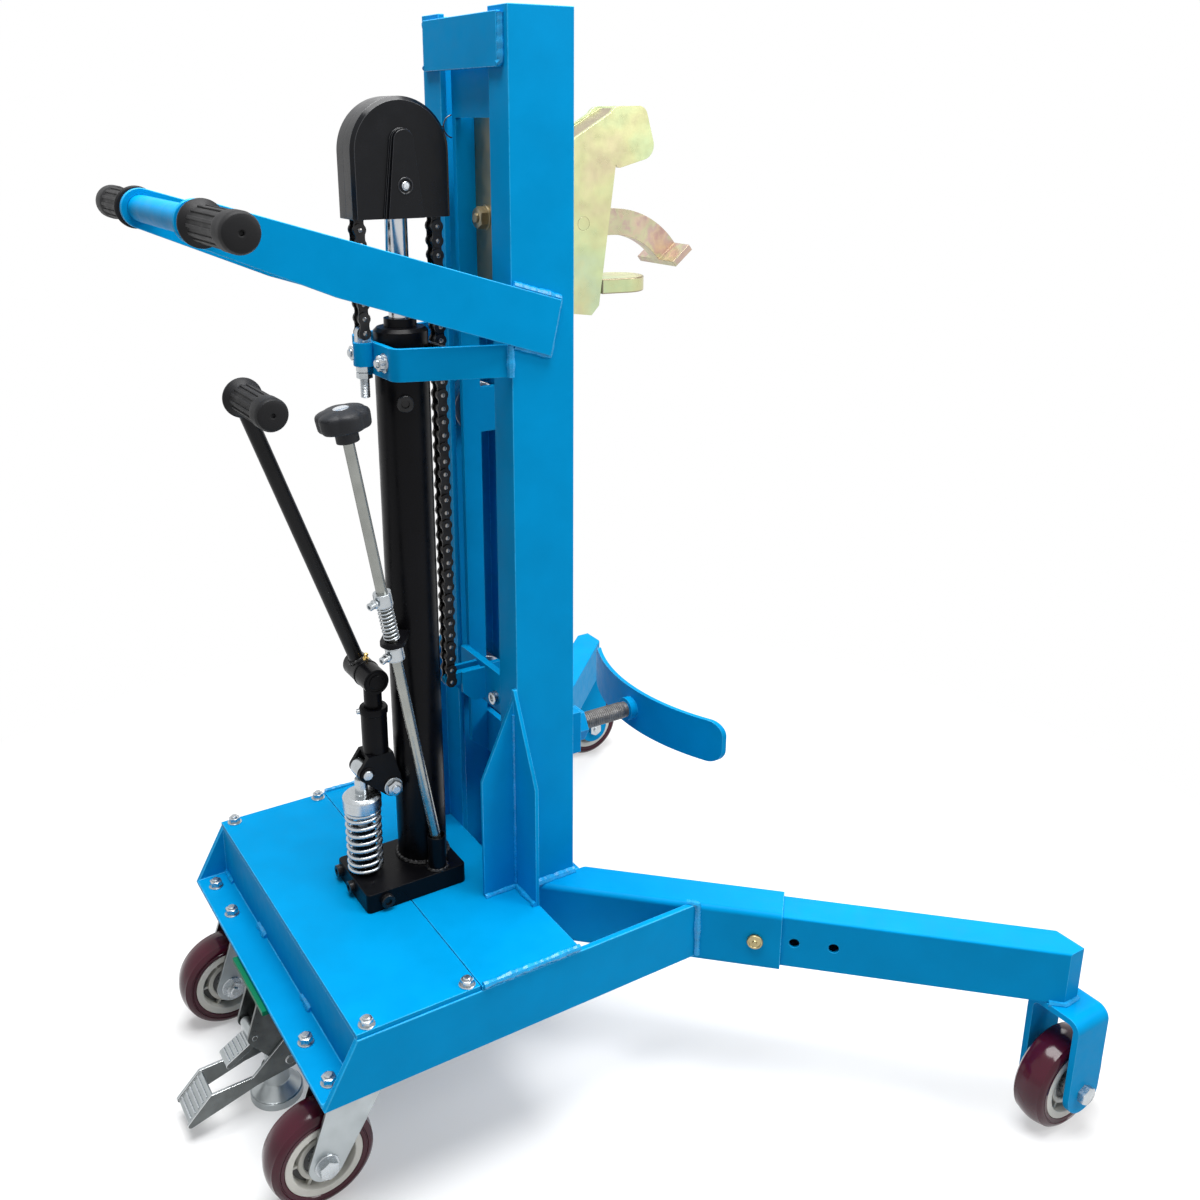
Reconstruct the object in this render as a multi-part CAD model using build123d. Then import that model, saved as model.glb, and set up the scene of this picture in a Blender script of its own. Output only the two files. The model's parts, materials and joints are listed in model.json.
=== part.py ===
from build123d import *
import os
from math import atan, atan2, cos, degrees, dist, pi, radians, sin, sqrt

# Drum handler: a wheeled base with splayed telescopic legs, a two-channel mast and a hand-pumped chain lift
# that raises a carriage with a beak clamp and a belly band.
# Millimetres. X points forward to the drum, Y to the operator's left, Z up, with the floor at Z 0.
# Pieces are drawn from the rear face of the mast; the export moves the middle of the length to X 0.
# Pieces in pairs are drawn on the right (Y below 0) and mirrored.

# Fits
RUN_CLEAR = 0.05
SIDE_CLEAR = 0.4
SLIDE_CLEAR = 0.5

# Base frame and deck
BASE_WIDTH = 490.0
FRAME_BOTTOM_Z = 176.0
RAIL_T = 8.0
RAIL_H = 76.0
DECK_T = 6.0
DECK_LENGTH = 280.0
COVER_LENGTH = 149.0
COVER_GAP = 1.0
COVER_INSET = 2.0
SHELF_T = 6.0
SHELF_LENGTH = 132.0
SHELF_OVERHANG = 42.0
END_PLATE_T = 6.0
CROSS_PLATE_T = 8.0
FOOT_PLATE_T = 6.0
TIE_T = 10.0
NUT_R = 8.5
NUT_H = 8.0
BOLT_R = 5.0
COVER_NUT_SIDE = 12.0
COVER_NUT_END = 16.0

# Splayed legs
LEG_ANGLE = 44.0
LEG_CROSS_X = -41.0
LEG_TUBE_W = 56.0
LEG_TUBE_H = 82.0
LEG_TUBE_WALL = 4.5
LEG_TUBE_CORNER = 7.0
LEG_DECK_GAP = 1.0
LEG_CAP_T = 5.0
LEG_SOCKET_END = 429.0
LEG_INNER_START = 274.0
LEG_INNER_WALL = 4.0
LEG_TIP = 776.0
LEG_TIP_Y = 548.5
PIN_AT = 397.0
PIN_PITCH = 48.0
PIN_HOLES_AHEAD = 2
PIN_HOLES_BEHIND = 1
PIN_R = 6.0
PIN_HOLE_R = 6.5
PIN_HEAD_R = 10.0
PIN_HEAD_H = 6.0
PIN_HEAD_BEVEL = 2.0

# Wheels
WHEEL_R = 63.5
WHEEL_W = 42.0
WHEEL_RIM_R = 46.0
WHEEL_RIM_T = 6.0
WHEEL_RIM_SINK = 3.0
WHEEL_WEB_T = 10.0
WHEEL_HUB_R = 15.0
WHEEL_SHOULDER = 9.0
WHEEL_SHOULDER_W = 4.5
AXLE_R = 6.0
AXLE_HEAD_R = 10.0
AXLE_HEAD_H = 7.0

# Front forks
FORK_AT = 773.7
FORK_OUTSET = 11.4
FORK_LENGTH = 56.0
FORK_GAP = 56.0
FORK_T = 8.0
FORK_BEND_R = 16.0

# Rear swivel casters
CASTER_INSET = 70.0
CASTER_FROM_REAR = 57.0
CASTER_TRAIL = 45.0
CASTER_PLATE_L = 104.0
CASTER_PLATE_W = 90.0
CASTER_PLATE_T = 6.0
CASTER_PLATE_CORNER = 8.0
CASTER_BOLT_L = 76.0
CASTER_BOLT_W = 72.0
CASTER_RACE_R = 31.0
CASTER_RACE_H = 12.0
CASTER_CROWN_T = 9.0
CASTER_CROWN_R = 33.0
CASTER_SIDE_T = 4.0
CASTER_SIDE_R = 21.0
CASTER_HUB_OVER = 3.0
KING_PIN_R = 8.0

# Floor lock: places from the shelf's rear edge
LOCK_FROM_REAR = 19.0
LOCK_PLATE_L = 92.0
LOCK_PLATE_OVER = 6.0
LOCK_PLATE_W = 116.0
LOCK_PLATE_T = 6.0
LOCK_CHEEK_T = 4.0
LOCK_CHEEK_GAP = 36.0
LOCK_GUIDE_R = 17.0
LOCK_GUIDE_BOTTOM_Z = 75.0
LOCK_STEM_R = 12.0
LOCK_FOOT_R = 33.0
LOCK_PAD_H = 10.0
LOCK_PAD_LIP = 2.0
LOCK_CONE_H = 14.0
LOCK_COLLAR_CLEAR = 1.0
LOCK_COLLAR_H = 21.0
LOCK_STEM_H = 75.0
PEDAL_PIVOT_AT = (32.0, 66.0)
PEDAL_TREAD_REAR_AT = (-95.0, 26.0)
PEDAL_TREAD_FRONT_AT = (-67.0, 54.0)
PEDAL_ELBOW_AT = (-13.0, 53.0)
PEDAL_HEEL_AT = (30.0, 92.0)
PEDAL_T = 4.0
PEDAL_ARM_R = 7.0
PEDAL_EYE_R = 13.0
PEDAL_PIN_R = 6.0
RELEASE_PIVOT_AT = (-8.0, 112.0)
RELEASE_KNEE_AT = (-10.0, 98.0)
RELEASE_TOE_AT = (-40.0, 80.0)
RELEASE_W = 30.0
RELEASE_R = 7.0
RELEASE_TOE_R = 4.0
RELEASE_PIN_R = 3.5
RELEASE_EYE_R = 9.0

# Mast
MAST_WIDTH = 201.0
MAST_TOP_Z = 1294.0
CHANNEL_DEPTH = 80.0
CHANNEL_FLANGE = 43.0
CHANNEL_FLANGE_T = 7.5
CHANNEL_WEB_T = 5.0
TOP_PLATE_T = 6.0
TOP_PLATE_W = 174.0
TOP_PLATE_H = 54.0
TOP_PLATE_DROP = 6.0
GUSSET_LEG = 50.0
GUSSET_T = 5.0
GUSSET_H = 273.0
GUSSET_EDGE_H = 162.0

# Push handle
ARM_T = 6.0
ARM_FRONT = 61.0
ARM_TOP_Z = 993.0
ARM_LOW = (46.5, 931.5)
ARM_KNEE = (-200.0, 1014.0)
HANDLE_X = -332.5
HANDLE_Z = 1093.0
HANDLE_R = 14.0
HANDLE_EYE_R = 21.0
HANDLE_LENGTH = 485.0
GRIP_R = 17.0
GRIP_CAP_T = 4.0
GRIP_FLANGE_R = 22.5
GRIP_FLANGE_T = 6.0
GRIP_FLANGE_Y = 122.0

# Lift cylinder and ram
CYLINDER_X = -87.0
CYLINDER_R = 31.0
CYLINDER_OVER_STRAP = 32.0
CYLINDER_TOP_BEVEL = 4.0
CYLINDER_BORE_Z = 500.0
GLAND_R = 18.5
GLAND_H = 10.0
RAM_R = 12.5
RAM_BOTTOM_Z = 560.0

# Chain, chain wheel and hood
CHAIN_PITCH = 15.875
CHAIN_WHEEL_STEPS = 18
CHAIN_WHEEL_Z = 1149.0
CHAIN_REAR_LINKS = 12
CHAIN_FRONT_LINKS = 40
CHAIN_PLATE_T = 2.0
CHAIN_PLATE_R = 7.2
CHAIN_INNER_GAP = 9.8
CHAIN_ROLLER_R = 5.08
CHAIN_PIN_R = 2.5
CHAIN_SEAT_GAP = 0.3
WHEEL_RIB_CLEAR = 0.6
CLEVIS_HALF_W = 15.0
CLEVIS_CHEEK_T = 6.0
CLEVIS_BASE_H = 12.0
CHAIN_AXLE_R = 9.0
CLEVIS_EYE_R = 18.0
HOOD_MARGIN = 11.3
HOOD_HALF_T = 22.0
HOOD_WALL = 3.0
HOOD_SKIRT = 68.0
HOOD_EDGE = 4.0
HOOD_RIB_FOOT_W = 46.0
HOOD_RIB_HEAD_W = 26.0
HOOD_RIB_RISE = 12.0
HOOD_RIB_T = 4.0
HOOD_SCREW_DROP = 34.0
HOOD_BOSS_R = 6.0

# Cylinder strap and chain anchor
STRAP_T = 6.0
STRAP_H = 36.0
STRAP_BEND_Y = 60.0
STRAP_BEND_R = 14.0
STRAP_SEAT_GAP = 0.3
STRAP_DROP = 28.5
STRAP_BOLT_Y = 38.0
CLAMP_BAR_T = 5.5
CLAMP_BAR_W = 100.0
CLAMP_BAR_H = 24.0
ANCHOR_R = 11.0
ANCHOR_H = 26.0
ANCHOR_RISE = 5.0
ANCHOR_ROD_R = 5.0
ANCHOR_ROD_DROP = 36.0
ANCHOR_NUT_R = 9.2
ANCHOR_NUT_H = 6.5
ANCHOR_NUT_GAP = 1.0
TONGUE_SIDE_CLEAR = 0.4
TONGUE_R = 8.0

# Pump
PUMP_BASE_H = 26.0
PUMP_BASE_REAR_X = -188.0
PUMP_BASE_FRONT_X = -54.0
PUMP_BASE_RIGHT = 58.0
PUMP_BASE_LEFT = 40.0
PUMP_BASE_CORNER = 6.0
PUMP_X = -165.5
BARREL_R = 14.0
BARREL_H = 60.0
PISTON_R = 8.0
PISTON_STROKE = 15.0
PISTON_ROOT_Z = 330.0
CAP_R = 24.0
CAP_BOTTOM_Z = 372.0
CAP_H = 20.0
CAP_BEVEL = 4.0
SPRING_R = 20.5
SPRING_WIRE_R = 2.2
SPRING_TURNS = 8
SPRING_BEND_R = 5.0
WIRE_SIDES = 4
HELIX_FITS = 8
POINTS_PER_TURN = 60
FULCRUM_X = -130.0
FULCRUM_Z = 398.0
FULCRUM_PIN_R = 6.0
FULCRUM_PIN_OVER = 3.0
LUG_W = 20.0
LUG_R = 13.0
ROCKER_T = 6.0
ROCKER_ROLLER_X = -163.0
ROCKER_ROLLER_Z = 424.0
ROCKER_ROLLER_R = 11.0
ROCKER_EYE_R = 10.5
SOCKET_X = -144.0
SOCKET_R = 16.0
SOCKET_BOTTOM_Z = 440.0
SOCKET_TOP_Z = 505.0
POST_R = 11.0
POST_DEPTH = 50.0
KNUCKLE_Z = 542.0
KNUCKLE_R = 16.0
KNUCKLE_W = 28.0
KNUCKLE_PIN_R = 8.0
SLEEVE_L = 38.0
LEVER_R = 9.0
LEVER_TILT = 19.0
LEVER_L = 376.0
LEVER_GRIP_R = 16.0
LEVER_GRIP_L = 100.0
LEVER_GRIP_FLANGE_R = 22.0
LEVER_GRIP_FLANGE_T = 6.0
LEVER_GRIP_START = 12.0

# Release rod
VALVE_X = -87.0
VALVE_Y = -44.0
VALVE_R = 11.5
VALVE_H = 46.0
VALVE_SOCKET = 10.0
VALVE_WALL = 2.0
ROD_R = 6.5
ROD_TILT = 9.3
ROD_LENGTH = 550.0
ROD_HOLE_R = 8.0
ROD_BRACKET_AT = 285.0
ROD_BRACKET_T = 5.0
ROD_BRACKET_W = 30.0
ROD_COLLAR_R = 11.0
ROD_COLLAR_H = 16.0
ROD_SPRING_L = 44.0
ROD_SPRING_R = 9.0
ROD_SPRING_WIRE_R = 0.9
ROD_SPRING_TURNS = 7
ROD_SPRING_BEND_R = 1.6
ROD_SEAT_GAP = 0.3
KNOB_R = 30.0
KNOB_H = 24.0
KNOB_LOBES = 6
KNOB_LOBE_R = 11.0
KNOB_LOBE_RISE = 5.0
KNOB_HUB_R = 13.0
KNOB_HUB_H = 14.0

# Carriage
BAR_REAR_X = 12.0
BAR_DEPTH = 24.0
BAR_T = 8.0
BAR_GAP = 3.5
BAR_BOTTOM_Z = 372.0
BAR_TOP_Z = 1250.0
BAR_FOOT_CUT = 20.0
HEAD_PLATE_H = 66.0
CARRIAGE_PLATE_T = 8.0
ROLLER_W = 30.0
ROLLER_AXLE_R = 10.0
ROLLER_TAB_H = 56.0
ROLLER_TAB_MARGIN = 18.0
ROLLER_HIGH_Z = 842.0
ROLLER_LOW_Z = 470.0
ROLLER_WEB_GAP = 3.5
HITCH_PLATE_T = 9.0
HITCH_PLATE_UP = 16.0
HITCH_PLATE_DOWN = 36.0
HITCH_W = 28.0
HITCH_CHEEK_T = 4.5
HITCH_UP = 12.0
HITCH_DOWN = 30.0
HITCH_CUT = 15.0
HITCH_REACH = 12.0

# Beak clamp: places from the front face of its back plate and the height of the beak's pin
CLAMP_PIN_Z = 1066.0
CLAMP_BACK_T = 8.0
CLAMP_BACK_UP = 124.0
CLAMP_BACK_DOWN = 66.0
CLAMP_WIDTH = 51.0
CLAMP_SIDE_T = 5.0
CLAMP_WEB_T = 6.0
CLAMP_WEB_SINK = 2.5
CLAMP_HEEL_Z = -56.0
CLAMP_TOE = (60.0, -101.0)
CLAMP_LIP = (108.0, -108.0)
CLAMP_LIP_TOP = (118.5, -97.0)
CLAMP_BROW = (140.0, 62.0)
CLAMP_BROW_R = 6.0
CLAMP_NOSE_LOW = (178.0, 87.0)
CLAMP_NOSE_LOW_R = 16.5
CLAMP_NOSE_TOP = (172.0, 118.5)
CLAMP_NOSE_TOP_R = 13.0
CLAMP_CREST = (146.0, 131.0)
CLAMP_CREST_R = 16.0
CLAMP_ROOF_Z = 49.0
BEAK_PIN_X = 96.0
BEAK_PIN_R = 8.0
BEAK_EYE_R = 17.0
BEAK_T = 16.0
BEAK_W = 31.0
BEAK_ARC = (148.0, -106.0)
BEAK_ARC_R = 105.0
BEAK_SWEEP = 51.0
BEAK_TIP_T = 8.0
BEAK_TIP_W = 76.0

# Chin jaw
CHIN_TIP_X = 238.0
CHIN_R = 32.0
CHIN_T = 18.0
CHIN_TOP_Z = 1000.0
CHIN_TAIL = 30.0

# Belly band, round the middle of the drum
DRUM_X = 541.7
BAND_R = 298.0
BAND_T = 6.0
BAND_H = 60.0
BAND_W = 304.0
BAND_CORNER_R = 20.0
BAND_Z = 401.0
STUD_R = 11.0
STUD_L = 146.0
STUD_COLLAR_R = 16.0
STUD_COLLAR_L = 10.0
BAND_ARM_T = 8.0
BAND_ARM_H = 60.0
BAND_ARM_GAP = 32.0
BAND_ARM_FRONT_X = 130.0
BAND_END_T = 10.0
BAND_NUT_R = 24.0
BAND_NUT_L = 13.0

# Heights and faces worked out from the sizes above
RAIL_TOP_Z = FRAME_BOTTOM_Z + RAIL_H
DECK_TOP_Z = RAIL_TOP_Z + DECK_T
BASE_HALF = BASE_WIDTH / 2
RAIL_INNER_Y = BASE_HALF - RAIL_T
SHELF_REAR_X = -DECK_LENGTH - SHELF_OVERHANG
SHELF_TOP_Z = FRAME_BOTTOM_Z + SHELF_T
CASTER_X = SHELF_REAR_X + CASTER_FROM_REAR
LOCK_X = SHELF_REAR_X + LOCK_FROM_REAR
LOCK_COLLAR_R = LOCK_CHEEK_GAP / 2 - LOCK_COLLAR_CLEAR
PEDAL_PIVOT = (SHELF_REAR_X + PEDAL_PIVOT_AT[0], PEDAL_PIVOT_AT[1])
PEDAL_TREAD_REAR = (SHELF_REAR_X + PEDAL_TREAD_REAR_AT[0], PEDAL_TREAD_REAR_AT[1])
PEDAL_TREAD_FRONT = (SHELF_REAR_X + PEDAL_TREAD_FRONT_AT[0], PEDAL_TREAD_FRONT_AT[1])
PEDAL_ELBOW = (SHELF_REAR_X + PEDAL_ELBOW_AT[0], PEDAL_ELBOW_AT[1])
PEDAL_HEEL = (SHELF_REAR_X + PEDAL_HEEL_AT[0], PEDAL_HEEL_AT[1])
RELEASE_PIVOT = (SHELF_REAR_X + RELEASE_PIVOT_AT[0], RELEASE_PIVOT_AT[1])
RELEASE_KNEE = (SHELF_REAR_X + RELEASE_KNEE_AT[0], RELEASE_KNEE_AT[1])
RELEASE_TOE = (SHELF_REAR_X + RELEASE_TOE_AT[0], RELEASE_TOE_AT[1])
LEG_TOP_Z = RAIL_TOP_Z - LEG_DECK_GAP
LEG_BOTTOM_Z = LEG_TOP_Z - LEG_TUBE_H
LEG_MID_Z = LEG_TOP_Z - LEG_TUBE_H / 2
LEG_INNER_W = LEG_TUBE_W - 2 * (LEG_TUBE_WALL + SLIDE_CLEAR)
LEG_INNER_H = LEG_TUBE_H - 2 * (LEG_TUBE_WALL + SLIDE_CLEAR)
LEG_INNER_CORNER = LEG_TUBE_CORNER - LEG_TUBE_WALL
LEG_COS = cos(radians(LEG_ANGLE))
LEG_SIN = sin(radians(LEG_ANGLE))
LEG_TIP_X = LEG_CROSS_X + LEG_TIP * LEG_COS
FORK_X = LEG_CROSS_X + FORK_AT * LEG_COS - FORK_OUTSET * LEG_SIN
FORK_Y = FORK_AT * LEG_SIN + FORK_OUTSET * LEG_COS
FORK_TOP_Z = LEG_MID_Z - LEG_INNER_H / 2
MAST_HALF = MAST_WIDTH / 2
MAST_GAP_HALF = MAST_HALF - CHANNEL_FLANGE
BAR_OUTER_Y = MAST_GAP_HALF - BAR_GAP
BAR_INNER_Y = BAR_OUTER_Y - BAR_T
BAR_FRONT_X = BAR_REAR_X + BAR_DEPTH
ROLLER_X = CHANNEL_DEPTH / 2
ROLLER_R = ROLLER_X - CHANNEL_FLANGE_T - SLIDE_CLEAR
ROLLER_OUTER_Y = MAST_HALF - CHANNEL_WEB_T - ROLLER_WEB_GAP
CASTER_Y = BASE_HALF - CASTER_INSET
CASTER_WHEEL_X = CASTER_X - CASTER_TRAIL
CHAIN_WHEEL_R = CHAIN_PITCH / 2 / sin(pi / CHAIN_WHEEL_STEPS)
CHAIN_WRAP_LINKS = CHAIN_WHEEL_STEPS // 2
CHAIN_REAR_X = CYLINDER_X - CHAIN_WHEEL_R
CHAIN_FRONT_X = CYLINDER_X + CHAIN_WHEEL_R
CHAIN_ANCHOR_Z = CHAIN_WHEEL_Z - CHAIN_REAR_LINKS * CHAIN_PITCH
CHAIN_HITCH_Z = CHAIN_WHEEL_Z - CHAIN_FRONT_LINKS * CHAIN_PITCH
CHAIN_INNER_Y = CHAIN_INNER_GAP / 2
CHAIN_OUTER_Y = CHAIN_INNER_Y + CHAIN_PLATE_T
TONGUE_HALF_T = CHAIN_INNER_Y - TONGUE_SIDE_CLEAR
CLEVIS_INNER_Y = CHAIN_INNER_Y + SIDE_CLEAR
CLEVIS_OUTER_Y = CLEVIS_INNER_Y + CLEVIS_CHEEK_T
CHAIN_SEAT_R = CHAIN_WHEEL_R - CHAIN_ROLLER_R - CHAIN_SEAT_GAP
CLEVIS_TOP_Z = CHAIN_WHEEL_Z - CHAIN_SEAT_R - SIDE_CLEAR
HOOD_R = CHAIN_WHEEL_R + HOOD_MARGIN
HOOD_BOTTOM_Z = CHAIN_WHEEL_Z - HOOD_SKIRT
STRAP_MID_Z = CHAIN_ANCHOR_Z - STRAP_DROP
STRAP_INNER_X = CYLINDER_X - CYLINDER_R - STRAP_SEAT_GAP
CYLINDER_TOP_Z = STRAP_MID_Z + CYLINDER_OVER_STRAP
STRAP_OUTER_X = STRAP_INNER_X - STRAP_T
PUMP_BASE_TOP_Z = DECK_TOP_Z + PUMP_BASE_H
ROCKER_INNER_Y = LUG_W / 2 + SIDE_CLEAR
PISTON_TOP_Z = ROCKER_ROLLER_Z - ROCKER_ROLLER_R - SIDE_CLEAR
CLAMP_X = BAR_FRONT_X + CLAMP_BACK_T
CLAMP_INNER_Y = CLAMP_WIDTH / 2 - CLAMP_SIDE_T
HITCH_PLATE_X = BAR_REAR_X - HITCH_PLATE_T
BAND_REAR_X = DRUM_X - BAND_R - BAND_T
LENGTH_REAR_X = PEDAL_TREAD_REAR[0] - PEDAL_T
LENGTH_FRONT_X = FORK_X + WHEEL_R
MIDDLE_X = (LENGTH_REAR_X + LENGTH_FRONT_X) / 2
FAR = 3000.0


def block(x0, x1, y0, y1, z0, z1):
    """Rectangular block between two corners."""
    return Pos((x0 + x1) / 2, (y0 + y1) / 2, (z0 + z1) / 2) * Box(x1 - x0, y1 - y0, z1 - z0)


def rod_x(radius, x0, x1, y, z):
    return Pos((x0 + x1) / 2, y, z) * Rot(0, 90, 0) * Cylinder(radius, x1 - x0)


def rod_y(radius, y0, y1, x, z):
    return Pos(x, (y0 + y1) / 2, z) * Rot(90, 0, 0) * Cylinder(radius, y1 - y0)


def rod_z(radius, z0, z1, x, y):
    return Pos(x, y, (z0 + z1) / 2) * Cylinder(radius, z1 - z0)


def side_plate(outline, y0, y1):
    """An outline drawn in X and Z, thickened between two Y faces."""
    return extrude(Plane.XZ.offset(-y1) * outline, y1 - y0, dir=(0, -1, 0))


def cross_plate(outline, x0, x1):
    """An outline drawn in Y and Z, thickened between two X faces."""
    return extrude(Plane.YZ.offset(x0) * outline, x1 - x0, dir=(1, 0, 0))


def flat_plate(outline, z0, z1):
    """An outline drawn in X and Y, thickened between two Z faces."""
    return extrude(Plane.XY.offset(z0) * outline, z1 - z0, dir=(0, 0, 1))


def disc(radius, x, z):
    return Pos(x, z) * Circle(radius)


def rectangle(x0, x1, z0, z1):
    return Pos((x0 + x1) / 2, (z0 + z1) / 2) * Rectangle(x1 - x0, z1 - z0)


def polygon(*points):
    return Polygon(*points, align=None)


def hull(*outlines):
    return make_hull([edge for outline in outlines for edge in outline.edges()])


def hexagon(radius):
    return RegularPolygon(radius, 6)


def other_side(shape):
    return mirror(shape, Plane.XZ)


def both_sides(shape):
    return [shape, other_side(shape)]


def together(shapes):
    """Several shapes as one: fused where they meet, side by side where they don't."""
    return shapes[0] + shapes[1:]


def leg_place():
    """Right leg: its local X runs out along the leg and its local Y points inwards."""
    return Pos(LEG_CROSS_X, 0, 0) * Rot(0, 0, -LEG_ANGLE)


def leg_prism(width, height, corner, start, end):
    section = RectangleRounded(width, height, corner)
    return leg_place() * Pos(0, 0, LEG_MID_Z) * extrude(Plane.YZ.offset(start) * section, end - start)


def leg_hole(at, radius, depth):
    """Pin hole from the outer face of the right leg tube inwards."""
    face_y = -LEG_TUBE_W / 2
    return leg_place() * rod_y(radius, face_y - PIN_HEAD_H, face_y + depth, at, LEG_MID_Z)


def base_frame():
    rail_outline = polygon(
        (-DECK_LENGTH, RAIL_TOP_Z), (SHELF_REAR_X, FRAME_BOTTOM_Z), (FAR, FRAME_BOTTOM_Z), (FAR, RAIL_TOP_Z))
    inside_leg_face = leg_place() * block(-FAR, FAR, -LEG_TUBE_W / 2, FAR, 0, FAR)
    rail = side_plate(rail_outline, -BASE_HALF, -RAIL_INNER_Y) - inside_leg_face
    shelf = block(SHELF_REAR_X, SHELF_REAR_X + SHELF_LENGTH, -RAIL_INNER_Y, RAIL_INNER_Y,
                  FRAME_BOTTOM_Z, SHELF_TOP_Z)
    end_plate = block(-DECK_LENGTH, -DECK_LENGTH + END_PLATE_T, -RAIL_INNER_Y, RAIL_INNER_Y,
                      SHELF_TOP_Z, RAIL_TOP_Z)
    cross = block(-CROSS_PLATE_T, 0, -RAIL_INNER_Y, RAIL_INNER_Y, LEG_BOTTOM_Z, RAIL_TOP_Z)
    tie = block(CHANNEL_DEPTH, CHANNEL_DEPTH + TIE_T, -MAST_HALF, MAST_HALF, LEG_BOTTOM_Z, LEG_TOP_Z)
    foot = block(-CROSS_PLATE_T, CHANNEL_DEPTH + TIE_T, -MAST_HALF, MAST_HALF,
                 LEG_BOTTOM_Z - FOOT_PLATE_T, LEG_BOTTOM_Z)
    return rail + [other_side(rail), shelf, end_plate, cross, foot, tie]


def deck_plate():
    return block(-DECK_LENGTH + COVER_LENGTH + COVER_GAP, 0, -BASE_HALF, BASE_HALF, RAIL_TOP_Z, DECK_TOP_Z)


def deck_cover():
    half = BASE_HALF - COVER_INSET
    return block(-DECK_LENGTH, -DECK_LENGTH + COVER_LENGTH, -half, half, RAIL_TOP_Z, DECK_TOP_Z)


def nut(x, y, z):
    return Pos(x, y, z) * extrude(hexagon(NUT_R), NUT_H)


def frame_nuts():
    """Nuts of the deck cover and of the casters' top plates."""
    nuts = []
    for x in (-DECK_LENGTH + COVER_NUT_END, -DECK_LENGTH + COVER_LENGTH - COVER_NUT_SIDE):
        for y in (-1, 1):
            nuts.append(nut(x, y * (BASE_HALF - COVER_NUT_SIDE), DECK_TOP_Z))
    for side in (-1, 1):
        for along in (-0.5, 0.5):
            for across in (-0.5, 0.5):
                nuts.append(nut(CASTER_X + along * CASTER_BOLT_L, side * CASTER_Y + across * CASTER_BOLT_W,
                                SHELF_TOP_Z))
    return together(nuts)


def leg_socket():
    tube = leg_prism(LEG_TUBE_W, LEG_TUBE_H, LEG_TUBE_CORNER, 0, LEG_SOCKET_END)
    inside = leg_prism(LEG_TUBE_W - 2 * LEG_TUBE_WALL, LEG_TUBE_H - 2 * LEG_TUBE_WALL, LEG_INNER_CORNER,
                       0, LEG_SOCKET_END)
    inside -= block(-FAR, FAR, -MAST_HALF - LEG_CAP_T, FAR, 0, FAR)
    tube -= inside
    tube -= leg_hole(PIN_AT, PIN_HOLE_R, LEG_TUBE_WALL + SLIDE_CLEAR)
    return tube - block(-FAR, FAR, -MAST_HALF, FAR, 0, FAR)


def leg_pins():
    """Locking pins: a domed head on the tube and a shank in its wall."""
    shank = rod_y(PIN_R, -LEG_TUBE_W / 2, -LEG_TUBE_W / 2 + LEG_TUBE_WALL, PIN_AT, LEG_MID_Z)
    dome = Pos(PIN_AT, -LEG_TUBE_W / 2, LEG_MID_Z) * Rot(90, 0, 0) * Cylinder(
        PIN_HEAD_R, PIN_HEAD_H, align=(Align.CENTER, Align.CENTER, Align.MIN))
    dome = chamfer(dome.edges().group_by(Axis.Y)[0], PIN_HEAD_BEVEL)
    return together(both_sides(leg_place() * (shank + dome)))


def fork():
    """Inverted U strap under the leg's tip, square to the direction of travel, with its axle bolt."""
    half = FORK_GAP / 2 + FORK_T
    axle_z = WHEEL_R
    outer = Pos(-FORK_Y, axle_z) * RectangleRounded(2 * half, 2 * (FORK_TOP_Z - axle_z), FORK_BEND_R)
    inner = Pos(-FORK_Y, axle_z) * RectangleRounded(
        FORK_GAP, 2 * (FORK_TOP_Z - FORK_T - axle_z), FORK_BEND_R - FORK_T)
    strap = cross_plate(outer - inner, FORK_X - FORK_LENGTH / 2, FORK_X + FORK_LENGTH / 2)
    ends = disc(FORK_LENGTH / 2, FORK_X, axle_z) + rectangle(
        FORK_X - FORK_LENGTH / 2, FORK_X + FORK_LENGTH / 2, axle_z, FORK_TOP_Z)
    strap &= side_plate(ends, -FORK_Y - half, -FORK_Y + half)
    axle = rod_y(AXLE_R, -FORK_Y - half, -FORK_Y + half, FORK_X, axle_z)
    hex_end = Pos(FORK_X, axle_z) * hexagon(AXLE_HEAD_R)
    head = side_plate(hex_end, -FORK_Y - half - AXLE_HEAD_H, -FORK_Y - half)
    end_nut = side_plate(hex_end, -FORK_Y + half, -FORK_Y + half + AXLE_HEAD_H)
    return strap + [axle, head, end_nut]


def leg_extension():
    tube = leg_prism(LEG_INNER_W, LEG_INNER_H, LEG_INNER_CORNER, LEG_INNER_START, LEG_TIP + LEG_TUBE_W)
    tube &= block(-FAR, LEG_TIP_X, -LEG_TIP_Y, FAR, 0, FAR)
    half_w = LEG_INNER_W / 2 - LEG_INNER_WALL
    half_h = LEG_INNER_H / 2 - LEG_INNER_WALL
    inside = leg_place() * block(LEG_INNER_START, LEG_TIP + LEG_TUBE_W, -half_w, half_w,
                                 LEG_MID_Z - half_h, LEG_MID_Z + half_h)
    inside &= block(-FAR, LEG_TIP_X - LEG_CAP_T, -LEG_TIP_Y + LEG_CAP_T, FAR, 0, FAR)
    tube -= inside
    depth = LEG_TUBE_WALL + SLIDE_CLEAR + 2 * LEG_INNER_WALL
    for step in range(-PIN_HOLES_BEHIND, PIN_HOLES_AHEAD + 1):
        tube -= leg_hole(PIN_AT + step * PIN_PITCH, PIN_HOLE_R, depth)
    return tube + fork()


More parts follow.
